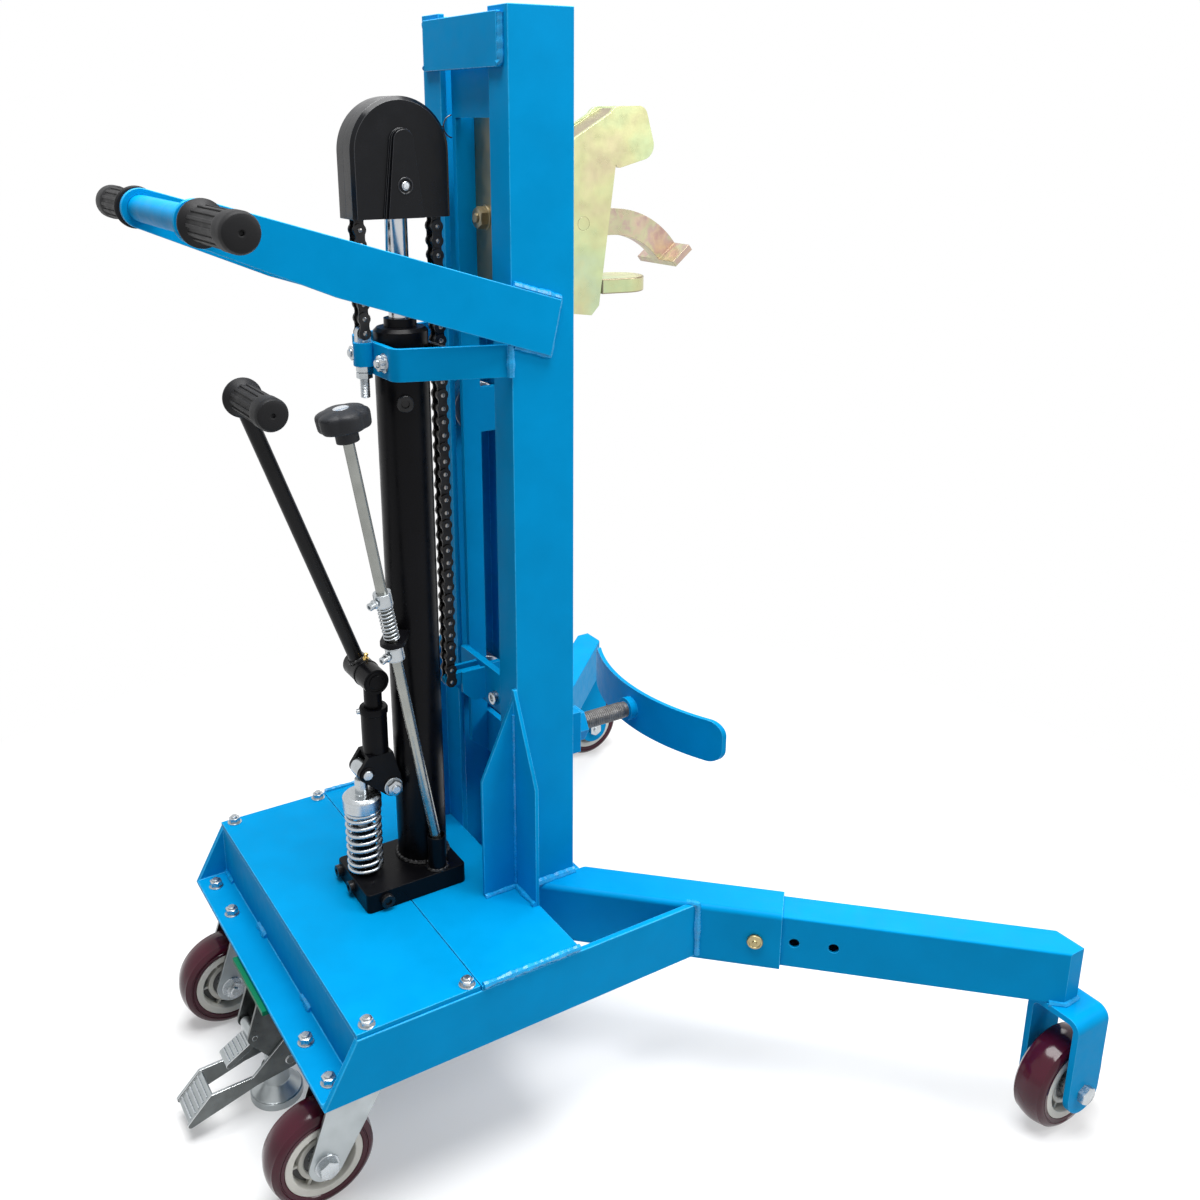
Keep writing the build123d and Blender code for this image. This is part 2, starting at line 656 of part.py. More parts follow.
def wheel(hub_half):
    """Wheel about its own Y axis: tyre with bevelled shoulders, rim, web and hub with a bore."""
    bore = AXLE_R + RUN_CLEAR
    rim_inner = WHEEL_RIM_R - WHEEL_RIM_T
    half = WHEEL_W / 2
    rim_half = half - WHEEL_RIM_SINK
    web_half = WHEEL_WEB_T / 2
    profile = rectangle(bore, WHEEL_HUB_R, -hub_half, hub_half)
    profile += rectangle(bore, WHEEL_RIM_R, -web_half, web_half)
    profile += rectangle(rim_inner, WHEEL_RIM_R, -rim_half, rim_half)
    tyre = rectangle(WHEEL_RIM_R, WHEEL_R, -half, half)
    tyre = chamfer(tyre.vertices().group_by(Axis.X)[-1], WHEEL_SHOULDER, WHEEL_SHOULDER_W)
    return revolve(profile + tyre, Axis.Y)


def front_wheel():
    return Pos(FORK_X, -FORK_Y, WHEEL_R) * wheel(FORK_GAP / 2 - SIDE_CLEAR)


def caster_wheel():
    return Pos(CASTER_WHEEL_X, -CASTER_Y, WHEEL_R) * wheel(WHEEL_W / 2 + CASTER_HUB_OVER)


def caster_plate():
    """Top plate and raceway under the shelf."""
    top_z = FRAME_BOTTOM_Z
    plate = flat_plate(Pos(CASTER_X, -CASTER_Y) * RectangleRounded(
        CASTER_PLATE_L, CASTER_PLATE_W, CASTER_PLATE_CORNER), top_z - CASTER_PLATE_T, top_z)
    race_z = top_z - CASTER_PLATE_T - CASTER_RACE_H
    race = rod_z(CASTER_RACE_R, race_z, top_z - CASTER_PLATE_T, CASTER_X, -CASTER_Y)
    bore = rod_z(KING_PIN_R + RUN_CLEAR, race_z, top_z - CASTER_PLATE_T, CASTER_X, -CASTER_Y)
    return plate + race - bore


def caster_fork():
    """Crown, king pin, two raked side plates and the axle bolt."""
    race_z = FRAME_BOTTOM_Z - CASTER_PLATE_T - CASTER_RACE_H
    crown_top = race_z - SIDE_CLEAR
    inner = WHEEL_W / 2 + CASTER_HUB_OVER + SIDE_CLEAR
    outer = inner + CASTER_SIDE_T
    crown = rod_z(CASTER_CROWN_R, crown_top - CASTER_CROWN_T, crown_top, CASTER_X, -CASTER_Y)
    pin = rod_z(KING_PIN_R, crown_top - CASTER_CROWN_T, FRAME_BOTTOM_Z - CASTER_PLATE_T - SIDE_CLEAR,
                CASTER_X, -CASTER_Y)
    top = rectangle(CASTER_X - CASTER_CROWN_R, CASTER_X + CASTER_CROWN_R,
                    crown_top - CASTER_CROWN_T, crown_top)
    outline = hull(disc(CASTER_SIDE_R, CASTER_WHEEL_X, WHEEL_R), top)
    axle = rod_y(AXLE_R, -CASTER_Y - outer, -CASTER_Y + outer, CASTER_WHEEL_X, WHEEL_R)
    bridge = block(CASTER_X - CASTER_CROWN_R, CASTER_X + CASTER_CROWN_R, -CASTER_Y - inner, -CASTER_Y + inner,
                   crown_top - CASTER_CROWN_T, crown_top)
    pieces = [pin, bridge, axle]
    for side in (-1, 1):
        near, far = sorted((-CASTER_Y + side * inner, -CASTER_Y + side * outer))
        pieces.append(side_plate(outline, near, far))
        low, high = sorted((-CASTER_Y + side * outer, -CASTER_Y + side * (outer + AXLE_HEAD_H)))
        pieces.append(side_plate(Pos(CASTER_WHEEL_X, WHEEL_R) * hexagon(AXLE_HEAD_R), low, high))
    return crown + pieces


def lock_bracket():
    """Floor lock bracket: top plate, two cheeks and the guide of the foot's stem."""
    top_z = FRAME_BOTTOM_Z
    under_z = top_z - LOCK_PLATE_T
    rear_x = SHELF_REAR_X - LOCK_PLATE_OVER
    plate = block(rear_x, rear_x + LOCK_PLATE_L, -LOCK_PLATE_W / 2, LOCK_PLATE_W / 2, under_z, top_z)
    guide = rod_z(LOCK_GUIDE_R, LOCK_GUIDE_BOTTOM_Z, under_z, LOCK_X, 0)
    bore = rod_z(LOCK_STEM_R + RUN_CLEAR, LOCK_GUIDE_BOTTOM_Z, under_z, LOCK_X, 0)
    inner = LOCK_CHEEK_GAP / 2
    head = rectangle(LOCK_X - LOCK_GUIDE_R, PEDAL_PIVOT[0] + PEDAL_EYE_R, under_z - PEDAL_EYE_R, under_z)
    outline = hull(disc(PEDAL_EYE_R, *PEDAL_PIVOT), disc(RELEASE_EYE_R, *RELEASE_PIVOT), head)
    outline -= disc(PEDAL_PIN_R + RUN_CLEAR, *PEDAL_PIVOT)
    outline -= disc(RELEASE_PIN_R + RUN_CLEAR, *RELEASE_PIVOT)
    cheek = side_plate(outline, -inner - LOCK_CHEEK_T, -inner)
    return plate + [guide, cheek, other_side(cheek)] - bore


def lock_pedal():
    """U pedal: two bent arms on stub pins with a sloping tread across their rear ends."""
    inner = LOCK_CHEEK_GAP / 2 + LOCK_CHEEK_T + SIDE_CLEAR
    outer = inner + PEDAL_T
    tread = hull(disc(PEDAL_T / 2, *PEDAL_TREAD_REAR), disc(PEDAL_T / 2, *PEDAL_TREAD_FRONT))
    elbow = disc(PEDAL_ARM_R, *PEDAL_ELBOW)
    arm = hull(elbow, disc(PEDAL_EYE_R, *PEDAL_PIVOT), disc(PEDAL_ARM_R, *PEDAL_HEEL))
    arm += hull(elbow, disc(PEDAL_T, *PEDAL_TREAD_FRONT), disc(PEDAL_T, *PEDAL_TREAD_REAR))
    side = side_plate(arm, -outer, -inner)
    pin = rod_y(PEDAL_PIN_R, -outer - PEDAL_T / 2, -LOCK_CHEEK_GAP / 2, *PEDAL_PIVOT)
    return side_plate(tread, -inner, inner) + [side, other_side(side), pin, other_side(pin)]


def lock_release():
    """Release pedal on its own pin between the cheeks: a short neck and a sloping plate."""
    knee = disc(RELEASE_TOE_R, *RELEASE_KNEE)
    outline = hull(disc(RELEASE_R, *RELEASE_PIVOT), knee) + hull(knee, disc(RELEASE_TOE_R, *RELEASE_TOE))
    pin_half = LOCK_CHEEK_GAP / 2 + LOCK_CHEEK_T
    body = side_plate(outline, -RELEASE_W / 2, RELEASE_W / 2)
    return body + rod_y(RELEASE_PIN_R, -pin_half, pin_half, *RELEASE_PIVOT)


def lock_foot():
    """Rubber pad, flared holder, collar and stem of the floor lock."""
    cone_top = LOCK_PAD_H + LOCK_CONE_H
    collar_top = cone_top + LOCK_COLLAR_H
    pad = rod_z(LOCK_FOOT_R, 0, LOCK_PAD_H, LOCK_X, 0)
    cone = Pos(LOCK_X, 0, LOCK_PAD_H) * Cone(
        LOCK_FOOT_R - LOCK_PAD_LIP, LOCK_COLLAR_R, LOCK_CONE_H, align=(Align.CENTER, Align.CENTER, Align.MIN))
    collar = rod_z(LOCK_COLLAR_R, cone_top, collar_top, LOCK_X, 0)
    stem = rod_z(LOCK_STEM_R, collar_top, collar_top + LOCK_STEM_H, LOCK_X, 0)
    return pad + [cone, collar, stem]


def mast_upright():
    """Channel with its open side inwards, and the angle gusset at its outer rear corner."""
    section = rectangle(0, CHANNEL_DEPTH, -MAST_HALF, -MAST_GAP_HALF)
    section -= rectangle(CHANNEL_FLANGE_T, CHANNEL_DEPTH - CHANNEL_FLANGE_T,
                         -MAST_HALF + CHANNEL_WEB_T, -MAST_GAP_HALF)
    channel = flat_plate(section, LEG_BOTTOM_Z, MAST_TOP_Z)
    foot_z = DECK_TOP_Z
    edge_z = foot_z + GUSSET_EDGE_H
    apex_z = foot_z + GUSSET_H
    along = side_plate(polygon((0, foot_z), (-GUSSET_LEG, foot_z), (-GUSSET_LEG, edge_z), (0, apex_z)),
                       -MAST_HALF, -MAST_HALF + GUSSET_T)
    across = cross_plate(
        polygon((-MAST_HALF + GUSSET_T, foot_z), (-MAST_HALF - GUSSET_LEG, foot_z),
                (-MAST_HALF - GUSSET_LEG, edge_z), (-MAST_HALF, apex_z), (-MAST_HALF + GUSSET_T, apex_z)),
        -GUSSET_T, 0)
    return channel + [along, across]


def mast_top_plate():
    top_z = MAST_TOP_Z - TOP_PLATE_DROP
    return block(-TOP_PLATE_T, 0, -TOP_PLATE_W / 2, TOP_PLATE_W / 2, top_z - TOP_PLATE_H, top_z)


def handle_arm():
    """Flat arm on the upright's outer face, tapering back to the eye of the cross tube."""
    eye = disc(HANDLE_EYE_R, HANDLE_X, HANDLE_Z)
    foot = polygon((ARM_FRONT, ARM_TOP_Z), ARM_LOW, ARM_KNEE)
    outline = hull(eye, foot)
    outline -= disc(HANDLE_R, HANDLE_X, HANDLE_Z)
    return side_plate(outline, -MAST_HALF - ARM_T, -MAST_HALF)


def handle_tube():
    half = HANDLE_LENGTH / 2 - GRIP_CAP_T
    return rod_y(HANDLE_R, -half, half, HANDLE_X, HANDLE_Z)


def handle_grip():
    """Rubber sleeve with an inner flange and a closed end."""
    end_y = -HANDLE_LENGTH / 2
    flange_y = -GRIP_FLANGE_Y
    body = rod_y(GRIP_R, end_y, flange_y, HANDLE_X, HANDLE_Z)
    body = chamfer(body.edges().group_by(Axis.Y)[0], GRIP_CAP_T / 2)
    body += rod_y(GRIP_FLANGE_R, flange_y - GRIP_FLANGE_T, flange_y, HANDLE_X, HANDLE_Z)
    return body - rod_y(HANDLE_R, end_y + GRIP_CAP_T, flange_y, HANDLE_X, HANDLE_Z)


def lift_cylinder():
    """Cylinder tube with gland, the fulcrum lug of the pump and the guide bracket of the release rod."""
    tube = rod_z(CYLINDER_R, PUMP_BASE_TOP_Z, CYLINDER_TOP_Z, CYLINDER_X, 0)
    tube = chamfer(tube.edges().group_by(Axis.Z)[-1], CYLINDER_TOP_BEVEL)
    gland = rod_z(GLAND_R, CYLINDER_TOP_Z, CYLINDER_TOP_Z + GLAND_H, CYLINDER_X, 0)
    bore = rod_z(RAM_R + RUN_CLEAR, CYLINDER_BORE_Z, CYLINDER_TOP_Z + GLAND_H, CYLINDER_X, 0)
    lug_outline = disc(LUG_R, FULCRUM_X, FULCRUM_Z) + rectangle(
        FULCRUM_X, CYLINDER_X, FULCRUM_Z - LUG_R, FULCRUM_Z + LUG_R)
    lug = side_plate(lug_outline, -LUG_W / 2, LUG_W / 2)
    pivot = rod_y(FULCRUM_PIN_R + RUN_CLEAR, -LUG_W / 2, LUG_W / 2, FULCRUM_X, FULCRUM_Z)
    at = rod_point(ROD_BRACKET_AT)
    tab = flat_plate(
        hull(disc(ROD_BRACKET_W / 2, at.X, at.Y), disc(ROD_BRACKET_W / 2, CYLINDER_X - CYLINDER_R / 2, 0)),
        at.Z - ROD_BRACKET_T / 2, at.Z + ROD_BRACKET_T / 2)
    hole = rod_place(ROD_BRACKET_AT) * Cylinder(ROD_HOLE_R, FAR)
    return tube + [gland, lug, tab - hole] - bore - pivot


def lift_ram():
    """Ram with the clevis and axle of the chain wheel."""
    base_z = CLEVIS_TOP_Z - CLEVIS_BASE_H
    ram = rod_z(RAM_R, RAM_BOTTOM_Z, base_z, CYLINDER_X, 0)
    base = block(CYLINDER_X - CLEVIS_HALF_W, CYLINDER_X + CLEVIS_HALF_W, -CLEVIS_OUTER_Y, CLEVIS_OUTER_Y,
                 base_z, CLEVIS_TOP_Z)
    outline = disc(CLEVIS_EYE_R, CYLINDER_X, CHAIN_WHEEL_Z) + rectangle(
        CYLINDER_X - CLEVIS_HALF_W, CYLINDER_X + CLEVIS_HALF_W, base_z, CHAIN_WHEEL_Z)
    cheek = side_plate(outline, -CLEVIS_OUTER_Y, -CLEVIS_INNER_Y)
    axle = rod_y(CHAIN_AXLE_R, -CLEVIS_OUTER_Y, CLEVIS_OUTER_Y, CYLINDER_X, CHAIN_WHEEL_Z)
    return ram + [base, cheek, other_side(cheek), axle]


def chain_wheel():
    """Plain wheel whose rim carries the chain's rollers between its inner plates."""
    rim_half = CHAIN_INNER_Y - WHEEL_RIB_CLEAR
    rim = rod_y(CHAIN_SEAT_R, -rim_half, rim_half, CYLINDER_X, CHAIN_WHEEL_Z)
    return rim - rod_y(CHAIN_AXLE_R + RUN_CLEAR, -rim_half, rim_half, CYLINDER_X, CHAIN_WHEEL_Z)


def link_plate(start, end):
    """Chain plate round two pins, with two flats to each round end."""
    turn = degrees(direction(start, end))
    length = dist(start, end)
    points = [(0, -CHAIN_PLATE_R), (CHAIN_PLATE_R, 0), (0, CHAIN_PLATE_R)]
    outline = [(length + x, y) for x, y in points] + [(-x, -y) for x, y in points]
    return Pos(*start) * Rot(0, 0, turn) * polygon(*outline)


def direction(start, end):
    """Angle of the line from one point of X and Z to another."""
    return atan2(end[1] - start[1], end[0] - start[0])


def chain_run(pins, outer_first, rollers, pinned=()):
    """Roller chain along a list of pin places: alternate inner and outer plates, rollers and end pins."""
    pieces = []
    for index, (start, end) in enumerate(zip(pins, pins[1:])):
        outer = (index % 2 == 0) == outer_first
        low = CHAIN_OUTER_Y if outer else CHAIN_INNER_Y
        plate = side_plate(link_plate(start, end), -low - CHAIN_PLATE_T, -low)
        pieces += both_sides(plate)
    for x, z in rollers:
        roller = Pos(x, z) * hexagon(CHAIN_ROLLER_R)
        pieces.append(side_plate(roller, -CHAIN_INNER_Y, CHAIN_INNER_Y))
    for x, z in pinned:
        pieces.append(rod_y(CHAIN_PIN_R, -CHAIN_OUTER_Y, CHAIN_OUTER_Y, x, z))
    return together(pieces)


def chain_rear():
    pins = [(CHAIN_REAR_X, CHAIN_ANCHOR_Z + index * CHAIN_PITCH) for index in range(CHAIN_REAR_LINKS + 1)]
    return chain_run(pins, True, pins[1:], pins[:1])


def chain_wrap():
    pins = []
    for index in range(CHAIN_WRAP_LINKS + 1):
        turn = pi - index * 2 * pi / CHAIN_WHEEL_STEPS
        pins.append((CYLINDER_X + CHAIN_WHEEL_R * cos(turn), CHAIN_WHEEL_Z + CHAIN_WHEEL_R * sin(turn)))
    return chain_run(pins, CHAIN_REAR_LINKS % 2 == 0, pins[1:-1])


def chain_front():
    pins = [(CHAIN_FRONT_X, CHAIN_WHEEL_Z - index * CHAIN_PITCH) for index in range(CHAIN_FRONT_LINKS + 1)]
    return chain_run(pins, (CHAIN_REAR_LINKS + CHAIN_WRAP_LINKS) % 2 == 0, pins[:-1], pins[-1:])


def chain_tongue(face_x, pin_x, pin_z):
    """Tongue between the plates of the chain's end link, with the hole of its pin."""
    outline = disc(TONGUE_R, pin_x, pin_z) + rectangle(
        min(face_x, pin_x), max(face_x, pin_x), pin_z - TONGUE_R, pin_z + TONGUE_R)
    return side_plate(outline - disc(CHAIN_PIN_R + RUN_CLEAR, pin_x, pin_z), -TONGUE_HALF_T, TONGUE_HALF_T)


def chain_hood():
    """Right half of the moulded hood over the chain wheel: a shell with a raised rib and a screw boss."""
    outline = disc(HOOD_R, CYLINDER_X, CHAIN_WHEEL_Z) + rectangle(
        CYLINDER_X - HOOD_R, CYLINDER_X + HOOD_R, HOOD_BOTTOM_Z, CHAIN_WHEEL_Z)
    inside = disc(HOOD_R - HOOD_WALL, CYLINDER_X, CHAIN_WHEEL_Z) + rectangle(
        CYLINDER_X - HOOD_R + HOOD_WALL, CYLINDER_X + HOOD_R - HOOD_WALL, HOOD_BOTTOM_Z, CHAIN_WHEEL_Z)
    shell = side_plate(outline, -HOOD_HALF_T, 0)
    rim = shell.faces().sort_by(Axis.Y)[0].edges().sort_by(Axis.Z)[1:]
    shell = chamfer(rim, HOOD_EDGE)
    shell -= side_plate(inside, -HOOD_HALF_T + HOOD_WALL, 0)
    rib_top = CHAIN_WHEEL_Z + HOOD_RIB_RISE
    foot = HOOD_RIB_FOOT_W / 2
    head = HOOD_RIB_HEAD_W / 2
    rib = polygon((CYLINDER_X - foot, HOOD_BOTTOM_Z), (CYLINDER_X + foot, HOOD_BOTTOM_Z),
                  (CYLINDER_X + head, rib_top), (CYLINDER_X - head, rib_top))
    rib += disc(head, CYLINDER_X, rib_top)
    screw_z = CHAIN_WHEEL_Z - HOOD_SCREW_DROP
    shell += side_plate(rib - disc(HOOD_BOSS_R, CYLINDER_X, screw_z),
                        -HOOD_HALF_T - HOOD_RIB_T, -HOOD_HALF_T)
    return shell + rod_y(HOOD_BOSS_R, -HOOD_HALF_T + HOOD_WALL, -CLEVIS_OUTER_Y, CYLINDER_X, screw_z)


def cylinder_strap():
    """Flat bar bent round the cylinder's back, from one upright's rear corner to the other's."""
    slope = (MAST_HALF - STRAP_BEND_Y) / -STRAP_OUTER_X
    wide = MAST_HALF + slope * CHANNEL_DEPTH
    outer = polygon((CHANNEL_DEPTH, -wide), (STRAP_OUTER_X, -STRAP_BEND_Y), (STRAP_OUTER_X, STRAP_BEND_Y),
                    (CHANNEL_DEPTH, wide))
    outer = fillet(outer.vertices().group_by(Axis.X)[0], STRAP_BEND_R)
    bar = flat_plate(outer - offset(outer, -STRAP_T), STRAP_MID_Z - STRAP_H / 2, STRAP_MID_Z + STRAP_H / 2)
    bar -= block(0, FAR, -FAR, FAR, 0, FAR)
    for side in (-1, 1):
        bar -= rod_x(BOLT_R + RUN_CLEAR, STRAP_OUTER_X, STRAP_INNER_X, side * STRAP_BOLT_Y, STRAP_MID_Z)
    return bar


def strap_clamp():
    """Bar in front of the cylinder and the two bolts that draw it to the strap."""
    bar_x = CYLINDER_X + CYLINDER_R + STRAP_SEAT_GAP
    bar = block(bar_x, bar_x + CLAMP_BAR_T, -CLAMP_BAR_W / 2, CLAMP_BAR_W / 2,
                STRAP_MID_Z - CLAMP_BAR_H / 2, STRAP_MID_Z + CLAMP_BAR_H / 2)
    pieces = []
    for side in (-1, 1):
        y = side * STRAP_BOLT_Y
        pieces.append(rod_x(BOLT_R, STRAP_OUTER_X - NUT_H, bar_x + CLAMP_BAR_T, y, STRAP_MID_Z))
        pieces.append(cross_plate(Pos(y, STRAP_MID_Z) * hexagon(NUT_R), STRAP_OUTER_X - NUT_H, STRAP_OUTER_X))
    return bar + pieces


def chain_anchor():
    """Boss on the strap with the adjusting rod, its nuts and the tongue that holds the chain."""
    low = STRAP_MID_Z + ANCHOR_RISE - ANCHOR_H / 2
    high = low + ANCHOR_H
    body = rod_z(ANCHOR_R, low, high, CHAIN_REAR_X, 0) - block(STRAP_OUTER_X, FAR, -FAR, FAR, 0, FAR)
    rod = rod_z(ANCHOR_ROD_R, low - ANCHOR_ROD_DROP, CHAIN_ANCHOR_Z - TONGUE_R, CHAIN_REAR_X, 0)
    outline = disc(TONGUE_R, CHAIN_REAR_X, CHAIN_ANCHOR_Z) + rectangle(
        CHAIN_REAR_X - TONGUE_R, CHAIN_REAR_X + TONGUE_R, high, CHAIN_ANCHOR_Z)
    outline -= disc(CHAIN_PIN_R + RUN_CLEAR, CHAIN_REAR_X, CHAIN_ANCHOR_Z)
    tongue = side_plate(outline, -TONGUE_HALF_T, TONGUE_HALF_T)
    pieces = [rod - rod_y(CHAIN_PIN_R + RUN_CLEAR, -FAR, FAR, CHAIN_REAR_X, CHAIN_ANCHOR_Z), tongue]
    for nut_z in (low - ANCHOR_NUT_H, low - 2 * ANCHOR_NUT_H - ANCHOR_NUT_GAP):
        nut = Pos(CHAIN_REAR_X, 0) * Rot(0, 0, 30) * hexagon(ANCHOR_NUT_R)
        pieces.append(flat_plate(nut, nut_z, nut_z + ANCHOR_NUT_H))
    return body + pieces


def pump_base():
    """Pump base block with the pump barrel and the boss of the release valve."""
    outline = Pos((PUMP_BASE_REAR_X + PUMP_BASE_FRONT_X) / 2, (PUMP_BASE_LEFT - PUMP_BASE_RIGHT) / 2)
    outline *= RectangleRounded(PUMP_BASE_FRONT_X - PUMP_BASE_REAR_X, PUMP_BASE_LEFT + PUMP_BASE_RIGHT,
                                PUMP_BASE_CORNER)
    body = flat_plate(outline, DECK_TOP_Z, PUMP_BASE_TOP_Z)
    barrel = rod_z(BARREL_R, PUMP_BASE_TOP_Z, PUMP_BASE_TOP_Z + BARREL_H, PUMP_X, 0)
    bore = rod_z(PISTON_R + RUN_CLEAR, PISTON_ROOT_Z - PISTON_STROKE - SLIDE_CLEAR,
                 PUMP_BASE_TOP_Z + BARREL_H, PUMP_X, 0)
    boss = rod_z(VALVE_R, PUMP_BASE_TOP_Z, PUMP_BASE_TOP_Z + VALVE_H, VALVE_X, VALVE_Y)
    socket = rod_z(VALVE_R - VALVE_WALL, PUMP_BASE_TOP_Z + VALVE_H - VALVE_SOCKET, PUMP_BASE_TOP_Z + VALVE_H,
                   VALVE_X, VALVE_Y)
    return body + [barrel, boss] - bore - socket


def pump_piston():
    """Pump rod with the cap that the return spring pushes up."""
    rod = rod_z(PISTON_R, PISTON_ROOT_Z, PISTON_TOP_Z, PUMP_X, 0)
    cap = rod_z(CAP_R, CAP_BOTTOM_Z, CAP_BOTTOM_Z + CAP_H, PUMP_X, 0)
    cap = chamfer(cap.edges().group_by(Axis.Z)[-1], CAP_BEVEL)
    return rod + cap


def coil(mean_r, wire_r, length, turns, bend_r):
    """Helical spring from Z 0 to its length as one tube, with straight upright ends. Returns the tube and
    its centre line as points."""
    run = 2 * wire_r
    pitch = length
    for _ in range(HELIX_FITS):
        slope = atan(pitch / (2 * pi * mean_r))
        rise = bend_r * cos(slope)
        pitch = (length - 2 * (run + rise)) / turns
    shift = bend_r * (1 - sin(slope))

    def on_helix(turn):
        return Vector(mean_r * cos(turn), mean_r * sin(turn), run + rise + pitch * turn / (2 * pi))

    def along(turn):
        return Vector(-sin(turn) * cos(slope), cos(turn) * cos(slope), sin(slope))

    up = Vector(0, 0, 1)
    last = 2 * pi * turns
    first_bend = on_helix(0) - Vector(0, shift, rise)
    last_bend = on_helix(last) + Vector(-sin(last) * shift, cos(last) * shift, rise)
    edges = [Line(first_bend - up * run, first_bend), TangentArc(first_bend, on_helix(0), tangent=up)]
    for index in range(2 * turns):
        start = index * pi
        end = start + pi
        edges += biarc(on_helix(start), along(start), on_helix(end), along(end))
    edges.append(TangentArc(on_helix(last), last_bend, tangent=along(last)))
    edges.append(Line(last_bend, last_bend + up * run))
    path = Wire([edge for item in edges for edge in item.edges()])
    tube = sweep(Plane(first_bend - up * run, z_dir=up) * RegularPolygon(wire_r, WIRE_SIDES), path=path)
    count = POINTS_PER_TURN * turns
    points = [path.position_at(index / count) for index in range(count + 1)]
    return tube, points


def biarc(start, start_dir, end, end_dir):
    """Two tangent arcs between two points with given directions, split evenly."""
    gap = end - start
    both = start_dir + end_dir
    across = 2 * (1 - start_dir.dot(end_dir))
    reach = (-gap.dot(both) + sqrt(gap.dot(both) ** 2 + across * gap.dot(gap))) / across
    knee_in = start + start_dir * reach
    knee_out = end - end_dir * reach
    middle = (knee_in + knee_out) * 0.5
    return [TangentArc(start, middle, tangent=start_dir),
            TangentArc(middle, end, tangent=(knee_out - knee_in).normalized())]


def self_gap(points, wire_r, turns):
    """Least clear space between stretches of one tube that lie half a turn or more apart."""
    apart = len(points) // (2 * turns)
    least = FAR
    for index, point in enumerate(points):
        for other in points[index + apart:]:
            least = min(least, (point - other).length)
    return least - 2 * wire_r


def pump_spring():
    length = CAP_BOTTOM_Z - PUMP_BASE_TOP_Z
    tube, points = coil(SPRING_R, SPRING_WIRE_R, length, SPRING_TURNS, SPRING_BEND_R)
    print("pump spring gap", round(self_gap(points, SPRING_WIRE_R, SPRING_TURNS), 2))
    return Pos(PUMP_X, 0, PUMP_BASE_TOP_Z) * tube


def pump_rocker():
    """Rocker: two cheeks on the fulcrum pin, the roller that presses the pump rod and the handle socket."""
    outer = ROCKER_INNER_Y + ROCKER_T
    top = rectangle(SOCKET_X - SOCKET_R, SOCKET_X + SOCKET_R, SOCKET_BOTTOM_Z, SOCKET_BOTTOM_Z + ROCKER_T)
    eye = disc(ROCKER_EYE_R, ROCKER_ROLLER_X, ROCKER_ROLLER_Z)
    outline = hull(disc(LUG_R, FULCRUM_X, FULCRUM_Z), eye, top)
    cheek = side_plate(outline, -outer, -ROCKER_INNER_Y)
    pin_half = outer + FULCRUM_PIN_OVER
    pin = rod_y(FULCRUM_PIN_R, -pin_half, pin_half, FULCRUM_X, FULCRUM_Z)
    roller = rod_y(ROCKER_ROLLER_R, -ROCKER_INNER_Y, ROCKER_INNER_Y, ROCKER_ROLLER_X, ROCKER_ROLLER_Z)
    bridge = block(SOCKET_X - SOCKET_R, SOCKET_X + SOCKET_R, -outer, outer, SOCKET_BOTTOM_Z,
                   SOCKET_BOTTOM_Z + ROCKER_T)
    socket = rod_z(SOCKET_R, SOCKET_BOTTOM_Z, SOCKET_TOP_Z, SOCKET_X, 0)
    bore = rod_z(POST_R + RUN_CLEAR, SOCKET_TOP_Z - POST_DEPTH, SOCKET_TOP_Z, SOCKET_X, 0)
    return cheek + [other_side(cheek), pin, roller, bridge, socket] - bore


def knuckle_place():
    """Frame of the lever's hinge: its local Y runs along the hinge pin."""
    return Pos(SOCKET_X, 0, KNUCKLE_Z)


def handle_post():
    """Post in the rocker's socket, with the knuckle and pin that carry the lever."""
    post = rod_z(POST_R, SOCKET_TOP_Z - POST_DEPTH, KNUCKLE_Z, SOCKET_X, 0)
    knuckle = rod_y(KNUCKLE_R, -KNUCKLE_W / 2, KNUCKLE_W / 2, 0, 0)
    pin = rod_y(KNUCKLE_PIN_R, 0, KNUCKLE_W / 2 + SIDE_CLEAR + SLEEVE_L, 0, 0)
    return post + [knuckle_place() * knuckle, knuckle_place() * pin]


def lever_place():
    """Frame of the lever: local Z runs up the lever, local Y along the hinge pin."""
    middle = KNUCKLE_W / 2 + SIDE_CLEAR + SLEEVE_L / 2
    return knuckle_place() * Pos(0, middle, 0) * Rot(0, -LEVER_TILT, 0)


def pump_lever():
    """Sleeve on the hinge pin, straight lever and the bar of its cross grip."""
    sleeve = rod_y(KNUCKLE_R, -SLEEVE_L / 2, SLEEVE_L / 2, 0, 0)
    lever = rod_z(LEVER_R, 0, LEVER_L, 0, 0)
    bar = rod_y(LEVER_R, -LEVER_GRIP_START - LEVER_GRIP_L, LEVER_GRIP_START, 0, LEVER_L)
    bore = rod_y(KNUCKLE_PIN_R + RUN_CLEAR, -SLEEVE_L / 2, SLEEVE_L / 2, 0, 0)
    return lever_place() * (sleeve + [lever, bar] - bore)


def pump_grip():
    """Rubber grip on the lever's cross bar, closed at its outer end."""
    start = -LEVER_GRIP_START
    end = start - LEVER_GRIP_L
    body = rod_y(LEVER_GRIP_R, end - GRIP_CAP_T, start, 0, LEVER_L)
    body = chamfer(body.edges().group_by(Axis.Y)[0], GRIP_CAP_T / 2)
    body += rod_y(LEVER_GRIP_FLANGE_R, start - LEVER_GRIP_FLANGE_T, start, 0, LEVER_L)
    return lever_place() * (body - rod_y(LEVER_R, end, start, 0, LEVER_L))


def rod_place(along):
    """Frame on the release rod: origin a distance up from its lower end, local Z along the rod."""
    foot_z = PUMP_BASE_TOP_Z + VALVE_H - VALVE_SOCKET + SIDE_CLEAR + ROD_R * sin(radians(ROD_TILT))
    return Pos(VALVE_X, VALVE_Y, foot_z) * Rot(0, -ROD_TILT, 0) * Pos(0, 0, along)


